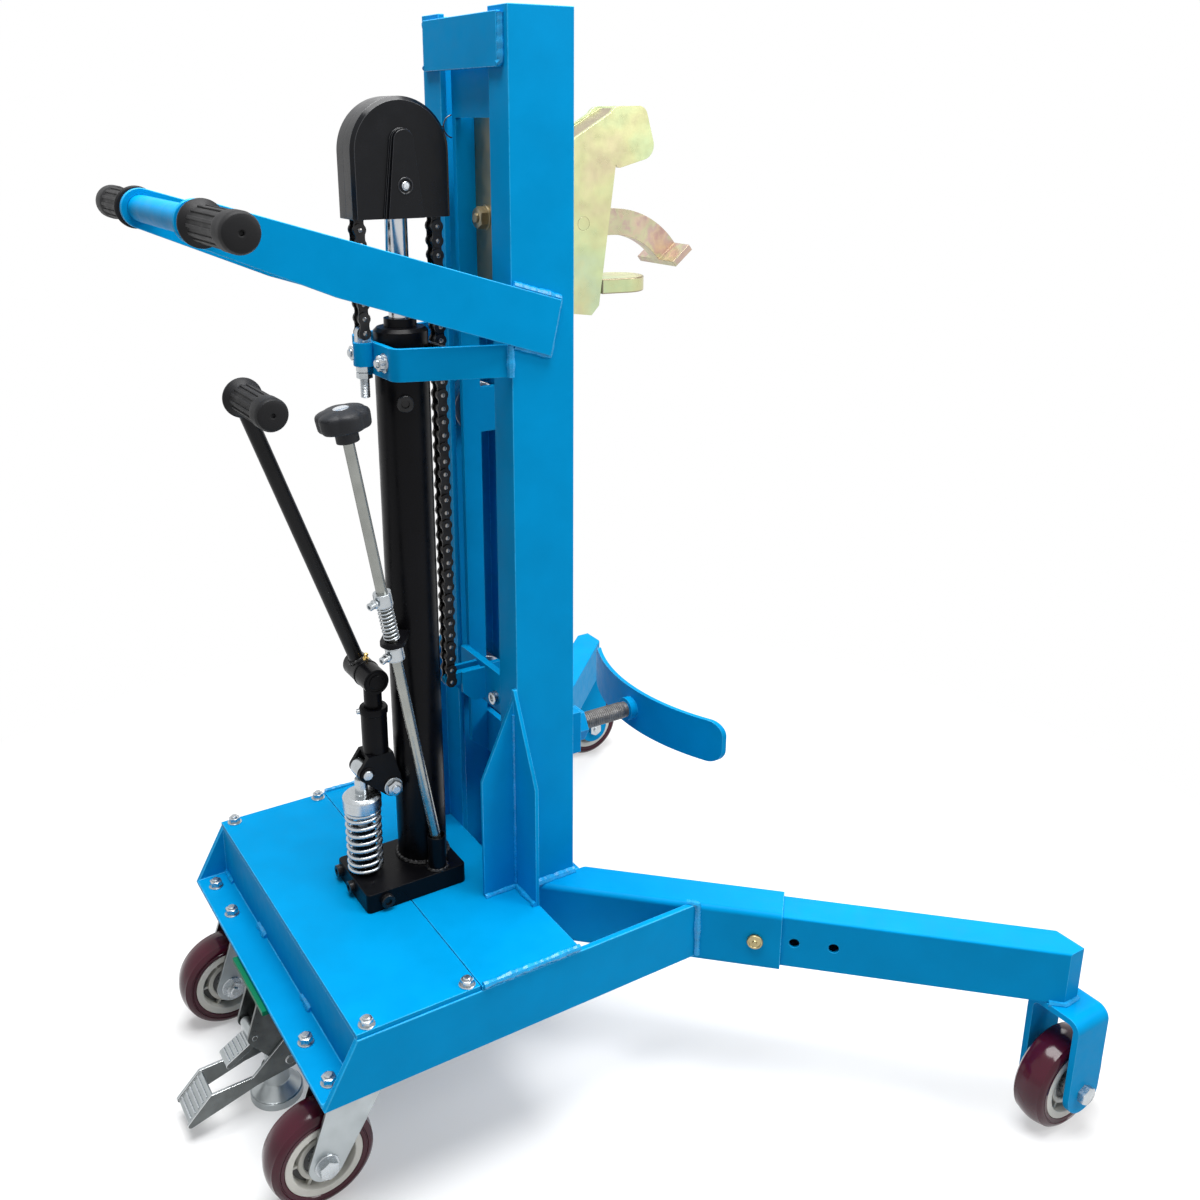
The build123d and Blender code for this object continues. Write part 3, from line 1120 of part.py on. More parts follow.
def rod_point(along):
    return rod_place(along).position


def release_rod():
    """Release rod with the collars above its spring and below its guide bracket."""
    rod = rod_place(ROD_LENGTH / 2) * Cylinder(ROD_R, ROD_LENGTH)
    upper = ROD_BRACKET_AT + ROD_BRACKET_T + ROD_SPRING_L + 2 * ROD_SEAT_GAP
    lower = ROD_BRACKET_AT - ROD_BRACKET_T - ROD_COLLAR_H
    collars = []
    for foot in (upper, lower):
        collars.append(rod_place(foot + ROD_COLLAR_H / 2) * Cylinder(ROD_COLLAR_R, ROD_COLLAR_H))
    return rod + collars


def release_spring():
    tube, points = coil(ROD_SPRING_R, ROD_SPRING_WIRE_R, ROD_SPRING_L, ROD_SPRING_TURNS, ROD_SPRING_BEND_R)
    print("release spring gap", round(self_gap(points, ROD_SPRING_WIRE_R, ROD_SPRING_TURNS), 2))
    return rod_place(ROD_BRACKET_AT + ROD_BRACKET_T + ROD_SEAT_GAP) * tube


def release_knob():
    """Star knob on the rod's upper end."""
    star = Circle(KNOB_R - KNOB_LOBE_RISE)
    for index in range(KNOB_LOBES):
        star += Rot(0, 0, index * 360 / KNOB_LOBES) * Pos(KNOB_R - KNOB_LOBE_R, 0) * Circle(KNOB_LOBE_R)
    body = extrude(star, KNOB_H)
    hub = extrude(Circle(KNOB_HUB_R), -KNOB_HUB_H)
    bore = extrude(Circle(ROD_R), -KNOB_HUB_H)
    return rod_place(ROD_LENGTH) * (body + hub - bore)


def carriage_frame():
    """Side bars with roller stubs, head plate, and the plate whose tongue and cheeks hang on the chain."""
    bar_outline = polygon(
        (BAR_REAR_X, BAR_TOP_Z), (BAR_REAR_X, BAR_BOTTOM_Z + BAR_FOOT_CUT), (BAR_FRONT_X, BAR_BOTTOM_Z),
        (BAR_FRONT_X, BAR_TOP_Z))
    for level in (ROLLER_LOW_Z, ROLLER_HIGH_Z):
        bar_outline += rectangle(BAR_REAR_X, ROLLER_X + ROLLER_TAB_MARGIN,
                                 level - ROLLER_TAB_H / 2, level + ROLLER_TAB_H / 2)
    bar = side_plate(bar_outline, -BAR_OUTER_Y, -BAR_INNER_Y)
    for level in (ROLLER_LOW_Z, ROLLER_HIGH_Z):
        bar += rod_y(ROLLER_AXLE_R, -ROLLER_OUTER_Y, -BAR_OUTER_Y, ROLLER_X, level)
    plate_front = BAR_REAR_X + CARRIAGE_PLATE_T
    head = block(BAR_REAR_X, plate_front, -BAR_INNER_Y, BAR_INNER_Y, BAR_TOP_Z - HEAD_PLATE_H, BAR_TOP_Z)
    hitch_plate = block(HITCH_PLATE_X, BAR_REAR_X, -BAR_OUTER_Y, BAR_OUTER_Y,
                        CHAIN_HITCH_Z - HITCH_PLATE_DOWN, CHAIN_HITCH_Z + HITCH_PLATE_UP)
    low = CHAIN_HITCH_Z - HITCH_DOWN
    high = CHAIN_HITCH_Z + HITCH_UP
    face_x = CHAIN_FRONT_X + HITCH_REACH
    cheek = side_plate(
        polygon((HITCH_PLATE_X, low), (face_x + HITCH_CUT, low), (face_x, low + HITCH_CUT),
                (face_x, high), (HITCH_PLATE_X, high)),
        -HITCH_W / 2, -HITCH_W / 2 + HITCH_CHEEK_T)
    tongue = chain_tongue(HITCH_PLATE_X, CHAIN_FRONT_X, CHAIN_HITCH_Z)
    return bar + [other_side(bar), head, hitch_plate, cheek, other_side(cheek), tongue]


def carriage_rollers(level):
    """Pair of guide rollers in the channels."""
    inner = ROLLER_OUTER_Y - ROLLER_W
    roller = rod_y(ROLLER_R, -ROLLER_OUTER_Y, -inner, ROLLER_X, level)
    roller -= rod_y(ROLLER_AXLE_R + RUN_CLEAR, -ROLLER_OUTER_Y, -inner, ROLLER_X, level)
    return together(both_sides(roller))


def clamp_point(place):
    """Place on the clamp, from its back plate's front face and the height of the beak's pin."""
    return CLAMP_X + place[0], CLAMP_PIN_Z + place[1]


def clamp_housing():
    """Back plate, two side plates with a rounded brow, and the sunken web along their sloping top."""
    back = block(BAR_FRONT_X, CLAMP_X, -BAR_OUTER_Y, BAR_OUTER_Y, CLAMP_PIN_Z - CLAMP_BACK_DOWN,
                 CLAMP_PIN_Z + CLAMP_BACK_UP)
    brow = clamp_point(CLAMP_BROW)
    crest = clamp_point(CLAMP_CREST)
    roof = (CLAMP_X, CLAMP_PIN_Z + CLAMP_ROOF_Z)
    outline = polygon(
        (CLAMP_X, CLAMP_PIN_Z + CLAMP_HEEL_Z), clamp_point(CLAMP_TOE), clamp_point(CLAMP_LIP),
        clamp_point(CLAMP_LIP_TOP), brow, crest, roof)
    outline += hull(
        disc(CLAMP_BROW_R, brow[0] + CLAMP_BROW_R, brow[1] + CLAMP_BROW_R),
        disc(CLAMP_NOSE_LOW_R, *clamp_point(CLAMP_NOSE_LOW)),
        disc(CLAMP_NOSE_TOP_R, *clamp_point(CLAMP_NOSE_TOP)),
        disc(CLAMP_CREST_R, crest[0], crest[1] - CLAMP_CREST_R))
    outline -= disc(BEAK_PIN_R + RUN_CLEAR, *clamp_point((BEAK_PIN_X, 0)))
    side = side_plate(outline, -CLAMP_WIDTH / 2, -CLAMP_INNER_Y)
    length = dist(roof, crest)
    fall = degrees(direction(roof, crest))
    web = Pos(roof[0], 0, roof[1]) * Rot(0, -fall, 0) * block(
        0, length, -CLAMP_INNER_Y, CLAMP_INNER_Y, -CLAMP_WEB_SINK - CLAMP_WEB_T, -CLAMP_WEB_SINK)
    web -= block(-FAR, CLAMP_X, -FAR, FAR, 0, FAR)
    return back + [side, other_side(side), web]


def chin_jaw():
    """Lower jaw: a plate with a round front end, tailed in between the side plates."""
    top = CHIN_TOP_Z
    low = CHIN_TOP_Z - CHIN_T
    lip_z = CLAMP_PIN_Z + CLAMP_LIP_TOP[1]
    brow_z = CLAMP_PIN_Z + CLAMP_BROW[1]
    lean = (CLAMP_BROW[0] - CLAMP_LIP_TOP[0]) / (brow_z - lip_z)
    face_x = CLAMP_X + CLAMP_LIP_TOP[0] + (top - lip_z) * lean
    centre_x = CHIN_TIP_X - CHIN_R
    plate = polygon((face_x, -CLAMP_WIDTH / 2), (centre_x, -CHIN_R), (centre_x, CHIN_R),
                    (face_x, CLAMP_WIDTH / 2))
    body = flat_plate(plate + disc(CHIN_R, centre_x, 0), low, top)
    return body + block(face_x - CHIN_TAIL, face_x, -CLAMP_INNER_Y, CLAMP_INNER_Y, low, top)


def beak():
    """Curved beak arm on its pin, with a cross tip that presses inside the drum's rim."""
    centre = clamp_point(BEAK_ARC)
    pin = clamp_point((BEAK_PIN_X, 0))
    half = BEAK_W / 2
    ring = disc(BEAK_ARC_R + half, *centre) - disc(BEAK_ARC_R - half, *centre)
    end_turn = radians(90 - BEAK_SWEEP)
    far = 2 * BEAK_ARC_R
    end = (centre[0] + far * cos(end_turn), centre[1] + far * sin(end_turn))
    wedge = polygon(centre, (centre[0], centre[1] + far), (centre[0] + far, centre[1] + far), end)
    outline = ring & wedge
    crown_z = centre[1] + BEAK_ARC_R
    outline += rectangle(pin[0], centre[0], crown_z - half, crown_z + half)
    outline += disc(BEAK_EYE_R, *pin)
    arm = side_plate(outline, -BEAK_T / 2, BEAK_T / 2)
    tip = Pos(centre[0], 0, centre[1]) * Rot(0, -degrees(end_turn), 0) * block(
        BEAK_ARC_R - half, BEAK_ARC_R + half, -BEAK_TIP_W / 2, BEAK_TIP_W / 2, -BEAK_TIP_T, 0)
    return arm + [tip, rod_y(BEAK_PIN_R, -CLAMP_WIDTH / 2, CLAMP_WIDTH / 2, *pin)]


def band_bracket():
    """Cross plate on the bars, two arms, the end plate and the welded nut of the band's stud."""
    low = BAND_Z - BAND_ARM_H / 2
    high = BAND_Z + BAND_ARM_H / 2
    root_x = BAR_FRONT_X + CARRIAGE_PLATE_T
    root = block(BAR_FRONT_X, root_x, -BAR_OUTER_Y, BAR_OUTER_Y, low, high)
    inner = BAND_ARM_GAP / 2
    arm = block(root_x, BAND_ARM_FRONT_X, -inner - BAND_ARM_T, -inner, low, high)
    end_x = BAND_ARM_FRONT_X + BAND_END_T
    end = block(BAND_ARM_FRONT_X, end_x, -inner - BAND_ARM_T, inner + BAND_ARM_T, low, high)
    weld_nut = cross_plate(Pos(0, BAND_Z) * hexagon(BAND_NUT_R), end_x, end_x + BAND_NUT_L)
    bore = rod_x(STUD_R + RUN_CLEAR, BAND_ARM_FRONT_X, end_x + BAND_NUT_L, 0, BAND_Z)
    return root + [arm, other_side(arm), end, weld_nut] - bore


def belly_band():
    """Curved band with rounded ends on its threaded stud."""
    ring = Pos(DRUM_X, 0, BAND_Z) * (Cylinder(BAND_R + BAND_T, BAND_H) - Cylinder(BAND_R, BAND_H))
    window = cross_plate(Pos(0, BAND_Z) * RectangleRounded(BAND_W, BAND_H, BAND_CORNER_R),
                         DRUM_X - BAND_R - 2 * BAND_T, DRUM_X)
    stud = rod_x(STUD_R, BAND_REAR_X - STUD_L, BAND_REAR_X + BAND_T / 2, 0, BAND_Z)
    collar = rod_x(STUD_COLLAR_R, BAND_REAR_X - STUD_COLLAR_L, BAND_REAR_X + BAND_T / 2, 0, BAND_Z)
    return (ring & window) + [stud, collar]


def paired(name, shape):
    return {name + "_right": shape, name + "_left": other_side(shape)}


def all_parts():
    parts = {
        "base_frame": base_frame(),
        "deck_plate": deck_plate(),
        "deck_cover": deck_cover(),
        "frame_nuts": frame_nuts(),
        "leg_pins": leg_pins(),
        "lock_bracket": lock_bracket(),
        "lock_pedal": lock_pedal(),
        "lock_release": lock_release(),
        "lock_foot": lock_foot(),
        "mast_top_plate": mast_top_plate(),
        "handle_tube": handle_tube(),
        "lift_cylinder": lift_cylinder(),
        "lift_ram": lift_ram(),
        "chain_wheel": chain_wheel(),
        "chain_rear": chain_rear(),
        "chain_wrap": chain_wrap(),
        "chain_front": chain_front(),
        "chain_anchor": chain_anchor(),
        "cylinder_strap": cylinder_strap(),
        "strap_clamp": strap_clamp(),
        "pump_base": pump_base(),
        "pump_piston": pump_piston(),
        "pump_spring": pump_spring(),
        "pump_rocker": pump_rocker(),
        "handle_post": handle_post(),
        "pump_lever": pump_lever(),
        "pump_grip": pump_grip(),
        "release_rod": release_rod(),
        "release_spring": release_spring(),
        "release_knob": release_knob(),
        "carriage_frame": carriage_frame(),
        "rollers_upper": carriage_rollers(ROLLER_HIGH_Z),
        "rollers_lower": carriage_rollers(ROLLER_LOW_Z),
        "clamp_housing": clamp_housing(),
        "chin_jaw": chin_jaw(),
        "beak": beak(),
        "band_bracket": band_bracket(),
        "belly_band": belly_band(),
    }
    parts |= paired("leg_socket", leg_socket())
    parts |= paired("leg_extension", leg_extension())
    parts |= paired("front_wheel", front_wheel())
    parts |= paired("caster_plate", caster_plate())
    parts |= paired("caster_fork", caster_fork())
    parts |= paired("caster_wheel", caster_wheel())
    parts |= paired("mast_upright", mast_upright())
    parts |= paired("handle_arm", handle_arm())
    parts |= paired("handle_grip", handle_grip())
    parts |= paired("chain_hood", chain_hood())
    return parts


def main():
    os.makedirs("parts", exist_ok=True)
    for name, shape in all_parts().items():
        export_step(Pos(-MIDDLE_X, 0, 0) * shape, f"parts/{name}.step")


main()
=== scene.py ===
import json
from math import cos, hypot, pi, radians, sin, sqrt

import bmesh
import bpy
from mathutils import Matrix, Vector, noise


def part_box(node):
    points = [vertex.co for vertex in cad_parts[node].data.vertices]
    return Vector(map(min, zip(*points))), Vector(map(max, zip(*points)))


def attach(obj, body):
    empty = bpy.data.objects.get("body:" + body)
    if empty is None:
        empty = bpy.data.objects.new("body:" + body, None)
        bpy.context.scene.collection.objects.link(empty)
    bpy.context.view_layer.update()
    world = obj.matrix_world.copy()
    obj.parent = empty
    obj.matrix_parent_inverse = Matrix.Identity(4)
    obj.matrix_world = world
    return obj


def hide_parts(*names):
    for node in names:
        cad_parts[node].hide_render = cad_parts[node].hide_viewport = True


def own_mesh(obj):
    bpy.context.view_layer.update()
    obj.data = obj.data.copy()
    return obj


# Looks of the drum handler: finishes on the solids, and wheels, chain, springs, grips, fasteners and welds.
# Named sizes and places are in millimetres, places from the mast's rear face, the middle plane and the floor;
# the frame and the meshes are in metres.
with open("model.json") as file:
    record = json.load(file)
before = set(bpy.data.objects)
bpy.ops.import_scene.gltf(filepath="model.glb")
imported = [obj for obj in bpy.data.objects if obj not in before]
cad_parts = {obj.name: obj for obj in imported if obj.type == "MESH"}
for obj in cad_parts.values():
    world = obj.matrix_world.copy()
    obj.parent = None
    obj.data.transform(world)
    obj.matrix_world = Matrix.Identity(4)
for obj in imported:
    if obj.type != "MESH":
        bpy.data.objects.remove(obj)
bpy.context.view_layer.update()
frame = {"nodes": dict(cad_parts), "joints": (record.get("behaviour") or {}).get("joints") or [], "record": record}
MM = 0.001
NODES = frame["nodes"]
SLOT_OF = {part["node"]: part["material_slot"] for part in frame["record"]["subparts"]}
JOINTS = {joint["name"]: joint for joint in frame["joints"]}
MAST_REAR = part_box("mast_top_plate")[1].x
UP = Vector((0, 0, 1))
SIDES = {"right": -1, "left": 1}

# Places of the cylinder and the pump
CYLINDER_X = -87
POST_X = -144
KNUCKLE_Z = 542
ROLLER_X, ROLLER_Z = -163, 424
ROCKER_BOLT_X, ROCKER_BOLT_Z = -130, 398
PUMP_BASE_TOP = 285


def at(x, y, z):
    """Place from the mast's rear face, the middle plane and the floor, in millimetres."""
    return Vector((MAST_REAR + x * MM, y * MM, z * MM))


def mm(*pairs):
    """Points of a profile or outline given in millimetres."""
    return [(a * MM, b * MM) for a, b in pairs]


def pivot(joint):
    return Vector(JOINTS[joint]["pos_m"])


def axis_of(joint):
    return Vector(JOINTS[joint]["axis"])


def middle(node):
    low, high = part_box(node)
    return (low + high) / 2


def off_axis(point, axis):
    """Distance of a point from an axis that runs across the part."""
    return hypot(point.x - axis.x, point.z - axis.z)


def along(origin, direction):
    """Frame with its Z axis along a direction."""
    return Matrix.Translation(origin) @ Vector(direction).to_track_quat("Z", "Y").to_matrix().to_4x4()


# Materials
NOISE_LOW, NOISE_HIGH = 0.3, 0.7
GLOSS_PER_PATCH = 4
GRAIN_STRENGTH = 0.35
RAINBOW_STEP = 0.08


def shader(name):
    mat = bpy.data.materials.new(name)
    mat.use_nodes = True
    return mat, mat.node_tree, mat.node_tree.nodes["Principled BSDF"]


def node(tree, kind, **inputs):
    made = tree.nodes.new(kind)
    for key, value in inputs.items():
        made.inputs[key.replace("_", " ")].default_value = value
    return made


def noise_at(tree, scale, detail=3.0, stretch=(1, 1, 1)):
    """Noise in the object's own coordinates; scale is in cells per metre."""
    where = tree.nodes.new("ShaderNodeTexCoord")
    mapping = tree.nodes.new("ShaderNodeMapping")
    mapping.inputs["Scale"].default_value = stretch
    tree.links.new(where.outputs["Object"], mapping.inputs["Vector"])
    texture = node(tree, "ShaderNodeTexNoise", Scale=scale, Detail=detail)
    tree.links.new(mapping.outputs["Vector"], texture.inputs["Vector"])
    return texture.outputs["Fac"]


def ramp(tree, source, stops):
    made = tree.nodes.new("ShaderNodeValToRGB")
    elements = made.color_ramp.elements
    while len(elements) < len(stops):
        elements.new(1.0)
    for element, (place, colour) in zip(elements, stops):
        element.position = place
        element.color = (*colour, 1)
    tree.links.new(source, made.inputs["Fac"])
    return made.outputs["Color"]


def spread(tree, source, low, high):
    """Stretches the usual range of a noise between two values."""
    made = node(tree, "ShaderNodeMapRange", From_Min=NOISE_LOW, From_Max=NOISE_HIGH, To_Min=low, To_Max=high)
    tree.links.new(source, made.inputs["Value"])
    return made.outputs["Result"]


def bump(tree, bsdf, source, strength, height):
    made = node(tree, "ShaderNodeBump", Strength=strength, Distance=height)
    tree.links.new(source, made.inputs["Height"])
    tree.links.new(made.outputs["Normal"], bsdf.inputs["Normal"])


def finish(name, colour, rough, metal=0.0, mottle=0.06, patch=18.0, grain=900.0, relief=0.00012, gleam=0.5,
           stretch=(1, 1, 1), rough_spread=0.07):
    """Coat with soft patches of shade, uneven gloss and a fine surface relief, which is in metres."""
    mat, tree, bsdf = shader(name)
    patches = noise_at(tree, patch, 4.0, stretch)
    dark = tuple(max(0.0, c * (1 - mottle)) for c in colour)
    light = tuple(min(1.0, c * (1 + mottle)) for c in colour)
    tree.links.new(ramp(tree, patches, [(NOISE_LOW, dark), (NOISE_HIGH, light)]), bsdf.inputs["Base Color"])
    gloss = noise_at(tree, patch * GLOSS_PER_PATCH, 5.0, stretch)
    tree.links.new(spread(tree, gloss, rough - rough_spread, rough + rough_spread), bsdf.inputs["Roughness"])
    bump(tree, bsdf, noise_at(tree, grain, 2.0, stretch), GRAIN_STRENGTH, relief)
    bsdf.inputs["Metallic"].default_value = metal
    bsdf.inputs["Specular IOR Level"].default_value = gleam
    return mat


def rainbow_zinc(name, colours, patch):
    """Yellow passivated zinc: its shade drifts through a row of colours."""
    mat, tree, bsdf = shader(name)
    drift = noise_at(tree, patch, 5.0)
    stops = [(NOISE_LOW + RAINBOW_STEP * k, colour) for k, colour in enumerate(colours)]
    tree.links.new(ramp(tree, drift, stops), bsdf.inputs["Base Color"])
    tree.links.new(spread(tree, noise_at(tree, 60.0, 5.0), 0.26, 0.44), bsdf.inputs["Roughness"])
    bump(tree, bsdf, noise_at(tree, 700.0), 0.25, 0.0001)
    bsdf.inputs["Metallic"].default_value = 0.85
    return mat


BLUE = finish("blue_paint", (0.0, 0.275, 0.60), 0.42, mottle=0.05, grain=620.0, relief=0.0002, gleam=0.03)
# Lighter, glossier blue on the rounded edges of blue parts: a painted highlight.
BLUE_EDGE_HIGHLIGHT = finish("blue_edge_painted_highlight", (0.01, 0.37, 0.72), 0.3, mottle=0.12, patch=60.0, gleam=0.25)
# Weld beads: glossier paint, real; their colour a little lighter than the blue, a painted highlight.
BLUE_WELD_HIGHLIGHT = finish("blue_weld_painted_highlight", (0.006, 0.31, 0.65), 0.26, mottle=0.14, patch=120.0, grain=400.0, gleam=0.35)
BLACK = finish("black_paint", (0.003, 0.003, 0.004), 0.32, mottle=0.3, grain=520.0, relief=0.00018, gleam=0.1)
ZINC = finish("zinc", (0.47, 0.50, 0.52), 0.28, metal=1.0, mottle=0.06, patch=70.0, relief=0.00002)
GALVANISED = finish("galvanised", (0.38, 0.41, 0.42), 0.34, metal=1.0, mottle=0.1, patch=40.0, grain=800.0,
                    relief=0.00004, rough_spread=0.05)
# Pale zinc on the rounded edges of the floor lock's pedals: a painted highlight.
PEDAL_EDGE_HIGHLIGHT = finish("pedal_edge_painted_highlight", (0.72, 0.74, 0.75), 0.24, metal=1.0, mottle=0.1, patch=90.0, relief=0.00002)
# Dark steel for the lock's bracket; on the pedals' side faces it is painted shade.
DARK_STEEL_AND_SHADE = finish("dark_steel_and_painted_shade", (0.13, 0.14, 0.14), 0.34, metal=1.0, mottle=0.2, patch=60.0)
BRONZE = finish("bronzed_zinc", (0.34, 0.29, 0.19), 0.36, metal=0.9, mottle=0.12, patch=30.0)
YELLOW_ZINC = rainbow_zinc("yellow_zinc", (
    (0.54, 0.43, 0.33), (0.60, 0.53, 0.33), (0.60, 0.60, 0.32), (0.55, 0.63, 0.35), (0.53, 0.62, 0.39),
    (0.60, 0.60, 0.33), (0.56, 0.47, 0.33)), 9.0)
PINK_ZINC = rainbow_zinc("pink_zinc", (
    (0.46, 0.30, 0.26), (0.55, 0.42, 0.30), (0.50, 0.36, 0.32), (0.52, 0.50, 0.32), (0.58, 0.46, 0.34),
    (0.48, 0.34, 0.30), (0.56, 0.50, 0.36)), 34.0)
CHROME = finish("chrome", (0.56, 0.58, 0.60), 0.2, metal=1.0, mottle=0.02, relief=0.00002, rough_spread=0.03)
CHAIN = finish("chain_steel", (0.03, 0.028, 0.027), 0.34, metal=0.75, mottle=0.3, patch=90.0, relief=0.00008)
PIN = finish("pin_steel", (0.26, 0.25, 0.24), 0.3, metal=1.0, mottle=0.2, patch=200.0)
RUBBER = finish("black_rubber", (0.010, 0.010, 0.011), 0.55, mottle=0.2, grain=1500.0, relief=0.0001,
                gleam=0.18)
PLASTIC = finish("black_plastic", (0.004, 0.0045, 0.006), 0.22, mottle=0.12, grain=1800.0, relief=0.00003,
                 gleam=0.2)
# Lighter black on the rounded edges of the plastic hood: a painted highlight.
PLASTIC_EDGE_HIGHLIGHT = finish("plastic_edge_painted_highlight", (0.02, 0.021, 0.024), 0.2, mottle=0.12, grain=1800.0, relief=0.00003,
                      gleam=0.55)
KNOB = finish("knob_plastic", (0.017, 0.018, 0.021), 0.48, mottle=0.1, grain=1800.0, relief=0.00005,
              gleam=0.22)
TYRE = finish("maroon_tyre", (0.055, 0.004, 0.014), 0.14, mottle=0.12, patch=30.0, grain=300.0,
              relief=0.00002, gleam=0.3, rough_spread=0.04)
# Near-black grey in the wheel core's recess: painted shade.
RECESS_SHADE = finish("wheel_recess_painted_shade", (0.09, 0.09, 0.09), 0.5, mottle=0.2, patch=60.0, grain=700.0)
CORE = finish("wheel_core", (0.63, 0.62, 0.57), 0.42, mottle=0.05, grain=700.0, relief=0.00008)
LEVER = finish("black_lever", (0.005, 0.005, 0.006), 0.36, mottle=0.2, grain=520.0, relief=0.00012, gleam=0.2)
GREEN = finish("green_paint", (0.001, 0.16, 0.075), 0.4, mottle=0.08, grain=600.0, gleam=0.1)
TURNED = finish("roller_steel", (0.5, 0.51, 0.53), 0.32, metal=1.0, mottle=0.08, grain=400.0,
                stretch=(1, 8, 1))
STUD = finish("dark_stud", (0.16, 0.155, 0.15), 0.45, metal=0.9, mottle=0.3, patch=120.0)
ROD = finish("ground_rod", (0.31, 0.32, 0.30), 0.25, metal=0.9, mottle=0.1, patch=40.0, relief=0.00004)
BRASS = finish("brass", (0.72, 0.52, 0.18), 0.25, metal=1.0, mottle=0.08, patch=100.0)
WELD_BLACK = finish("black_weld", (0.012, 0.012, 0.013), 0.3, metal=0.3, mottle=0.4, patch=120.0, gleam=0.4)
PIN_HEAD = finish("pin_head", (0.36, 0.30, 0.16), 0.35, metal=1.0, mottle=0.15, patch=90.0)
CAP = finish("knob_cap", (0.62, 0.65, 0.68), 0.22, metal=0.7, mottle=0.1, patch=120.0)
FINISH = {"blue_paint": BLUE, "black_paint": BLACK, "zinc": ZINC, "yellow_zinc": YELLOW_ZINC,
          "chrome": CHROME, "chain_steel": CHAIN, "black_rubber": RUBBER, "black_plastic": PLASTIC,
          "maroon_tyre": TYRE, "green_paint": GREEN, "roller_steel": TURNED}
# Finishes that show on the bevels alone: the lighter blue and the lighter black plastic are painted highlights.
EDGE_FINISH = {"blue_paint": BLUE_EDGE_HIGHLIGHT, "black_plastic": PLASTIC_EDGE_HIGHLIGHT, "yellow_zinc": BRONZE}
# The pale zinc on the pedals' edges is a painted highlight.
EDGE_FINISH_OF = {"clamp_housing": None, "lock_pedal": PEDAL_EDGE_HIGHLIGHT, "lock_release": PEDAL_EDGE_HIGHLIGHT}


# Shapes: each is a pair of points and faces in its own frame
def circle(radius, height, sides):
    turns = [2 * pi * k / sides for k in range(sides)]
    return [Vector((radius * cos(turn), radius * sin(turn), height)) for turn in turns]


def skin(rings, closed=False):
    """Faces between rings of points, with the first and last ring filled; a ring of one point is a tip."""
    points, faces, spans = [], [], []
    for ring in rings:
        spans.append(range(len(points), len(points) + len(ring)))
        points += ring
    pairs = list(zip(spans, spans[1:]))
    if closed:
        pairs.append((spans[-1], spans[0]))
    for low, high in pairs:
        for k in range(max(len(low), len(high))):
            ahead = k + 1
            corners = [low[k % len(low)], low[ahead % len(low)], high[ahead % len(high)], high[k % len(high)]]
            faces.append(list(dict.fromkeys(corners)))
    if not closed:
        faces += [list(span) for span in (spans[0], spans[-1]) if len(span) > 2]
    return points, faces


def lathe(profile, sides=48):
    """Solid of (radius, height) pairs turned about Z; a radius of 0 is a tip."""
    return skin([circle(r, h, sides) if r else [Vector((0, 0, h))] for r, h in profile])


def ring_lathe(profile, sides=64):
    """Ring of (radius, height) pairs turned about Z, joined end to end."""
    return skin([circle(r, h, sides) for r, h in profile], closed=True)


def both_faces(profile):
    """Profile of one face, in millimetres, carried round to the same face below."""
    return mm(*[(r, -h) for r, h in profile], *reversed(profile))


def arc(x, y, radius, start, end, steps=6):
    """Points of an arc between two angles in degrees."""
    turns = [radians(start + (end - start) * k / steps) for k in range(steps + 1)]
    return [(x + radius * cos(turn), y + radius * sin(turn)) for turn in turns]


def tube(path, radius, sides=10, ripple=None):
    """Round bar along points; ripple gives a share of the radius at each point."""
    rings = []
    tangent = (path[1] - path[0]).normalized()
    side = tangent.orthogonal().normalized()
    for index, point in enumerate(path):
        ahead = path[min(index + 1, len(path) - 1)] - path[max(index - 1, 0)]
        turn = tangent.rotation_difference(ahead.normalized())
        tangent = ahead.normalized()
        side = (turn @ side).normalized()
        across = tangent.cross(side)
        size = radius * (ripple(index) if ripple else 1.0)
        rings.append([point + size * (side * cos(2 * pi * k / sides) + across * sin(2 * pi * k / sides))
                      for k in range(sides)])
    return skin(rings)


def beaded(depth, rate):
    """Even beads along a weld, for the ripple of a tube."""
    return lambda k: 1 + depth * sin(rate * k)


def prism(outline, low, high):
    """An outline in X and Y thickened along Z."""
    return skin([[Vector((x, y, height)) for x, y in outline] for height in (low, high)])


def strip(start, end, half):
    """Outline of a straight rib, in millimetres."""
    return mm((start, -half), (end, -half), (end, half), (start, half))


HEX_LAND = 0.96


def hex_head(radius, height, crown=0.5, sides=36):
    """Hexagonal head or nut with the round bevel of a turned face; crown is the bevel's slope."""
    inner = radius * cos(pi / 6)
    land = inner * HEX_LAND
    foot, edge = [], []
    for k in range(sides):
        turn = 2 * pi * k / sides
        reach = inner / cos((turn + pi / 6) % (pi / 3) - pi / 6)
        foot.append(Vector((reach * cos(turn), reach * sin(turn), 0)))
        edge.append(Vector((reach * cos(turn), reach * sin(turn), height - (reach - land) * crown)))
    return skin([foot, edge, circle(land, height, sides)])


def screw_thread(radius, depth, pitch, length, sides):
    """Threaded bar about Z as a stack of bevelled rings."""
    profile = []
    for k in range(int(length / pitch)):
        base = k * pitch
        profile += [(radius - depth, base), (radius, base + pitch * 0.4), (radius, base + pitch * 0.6)]
    profile.append((radius - depth, length))
    return lathe(profile, sides)


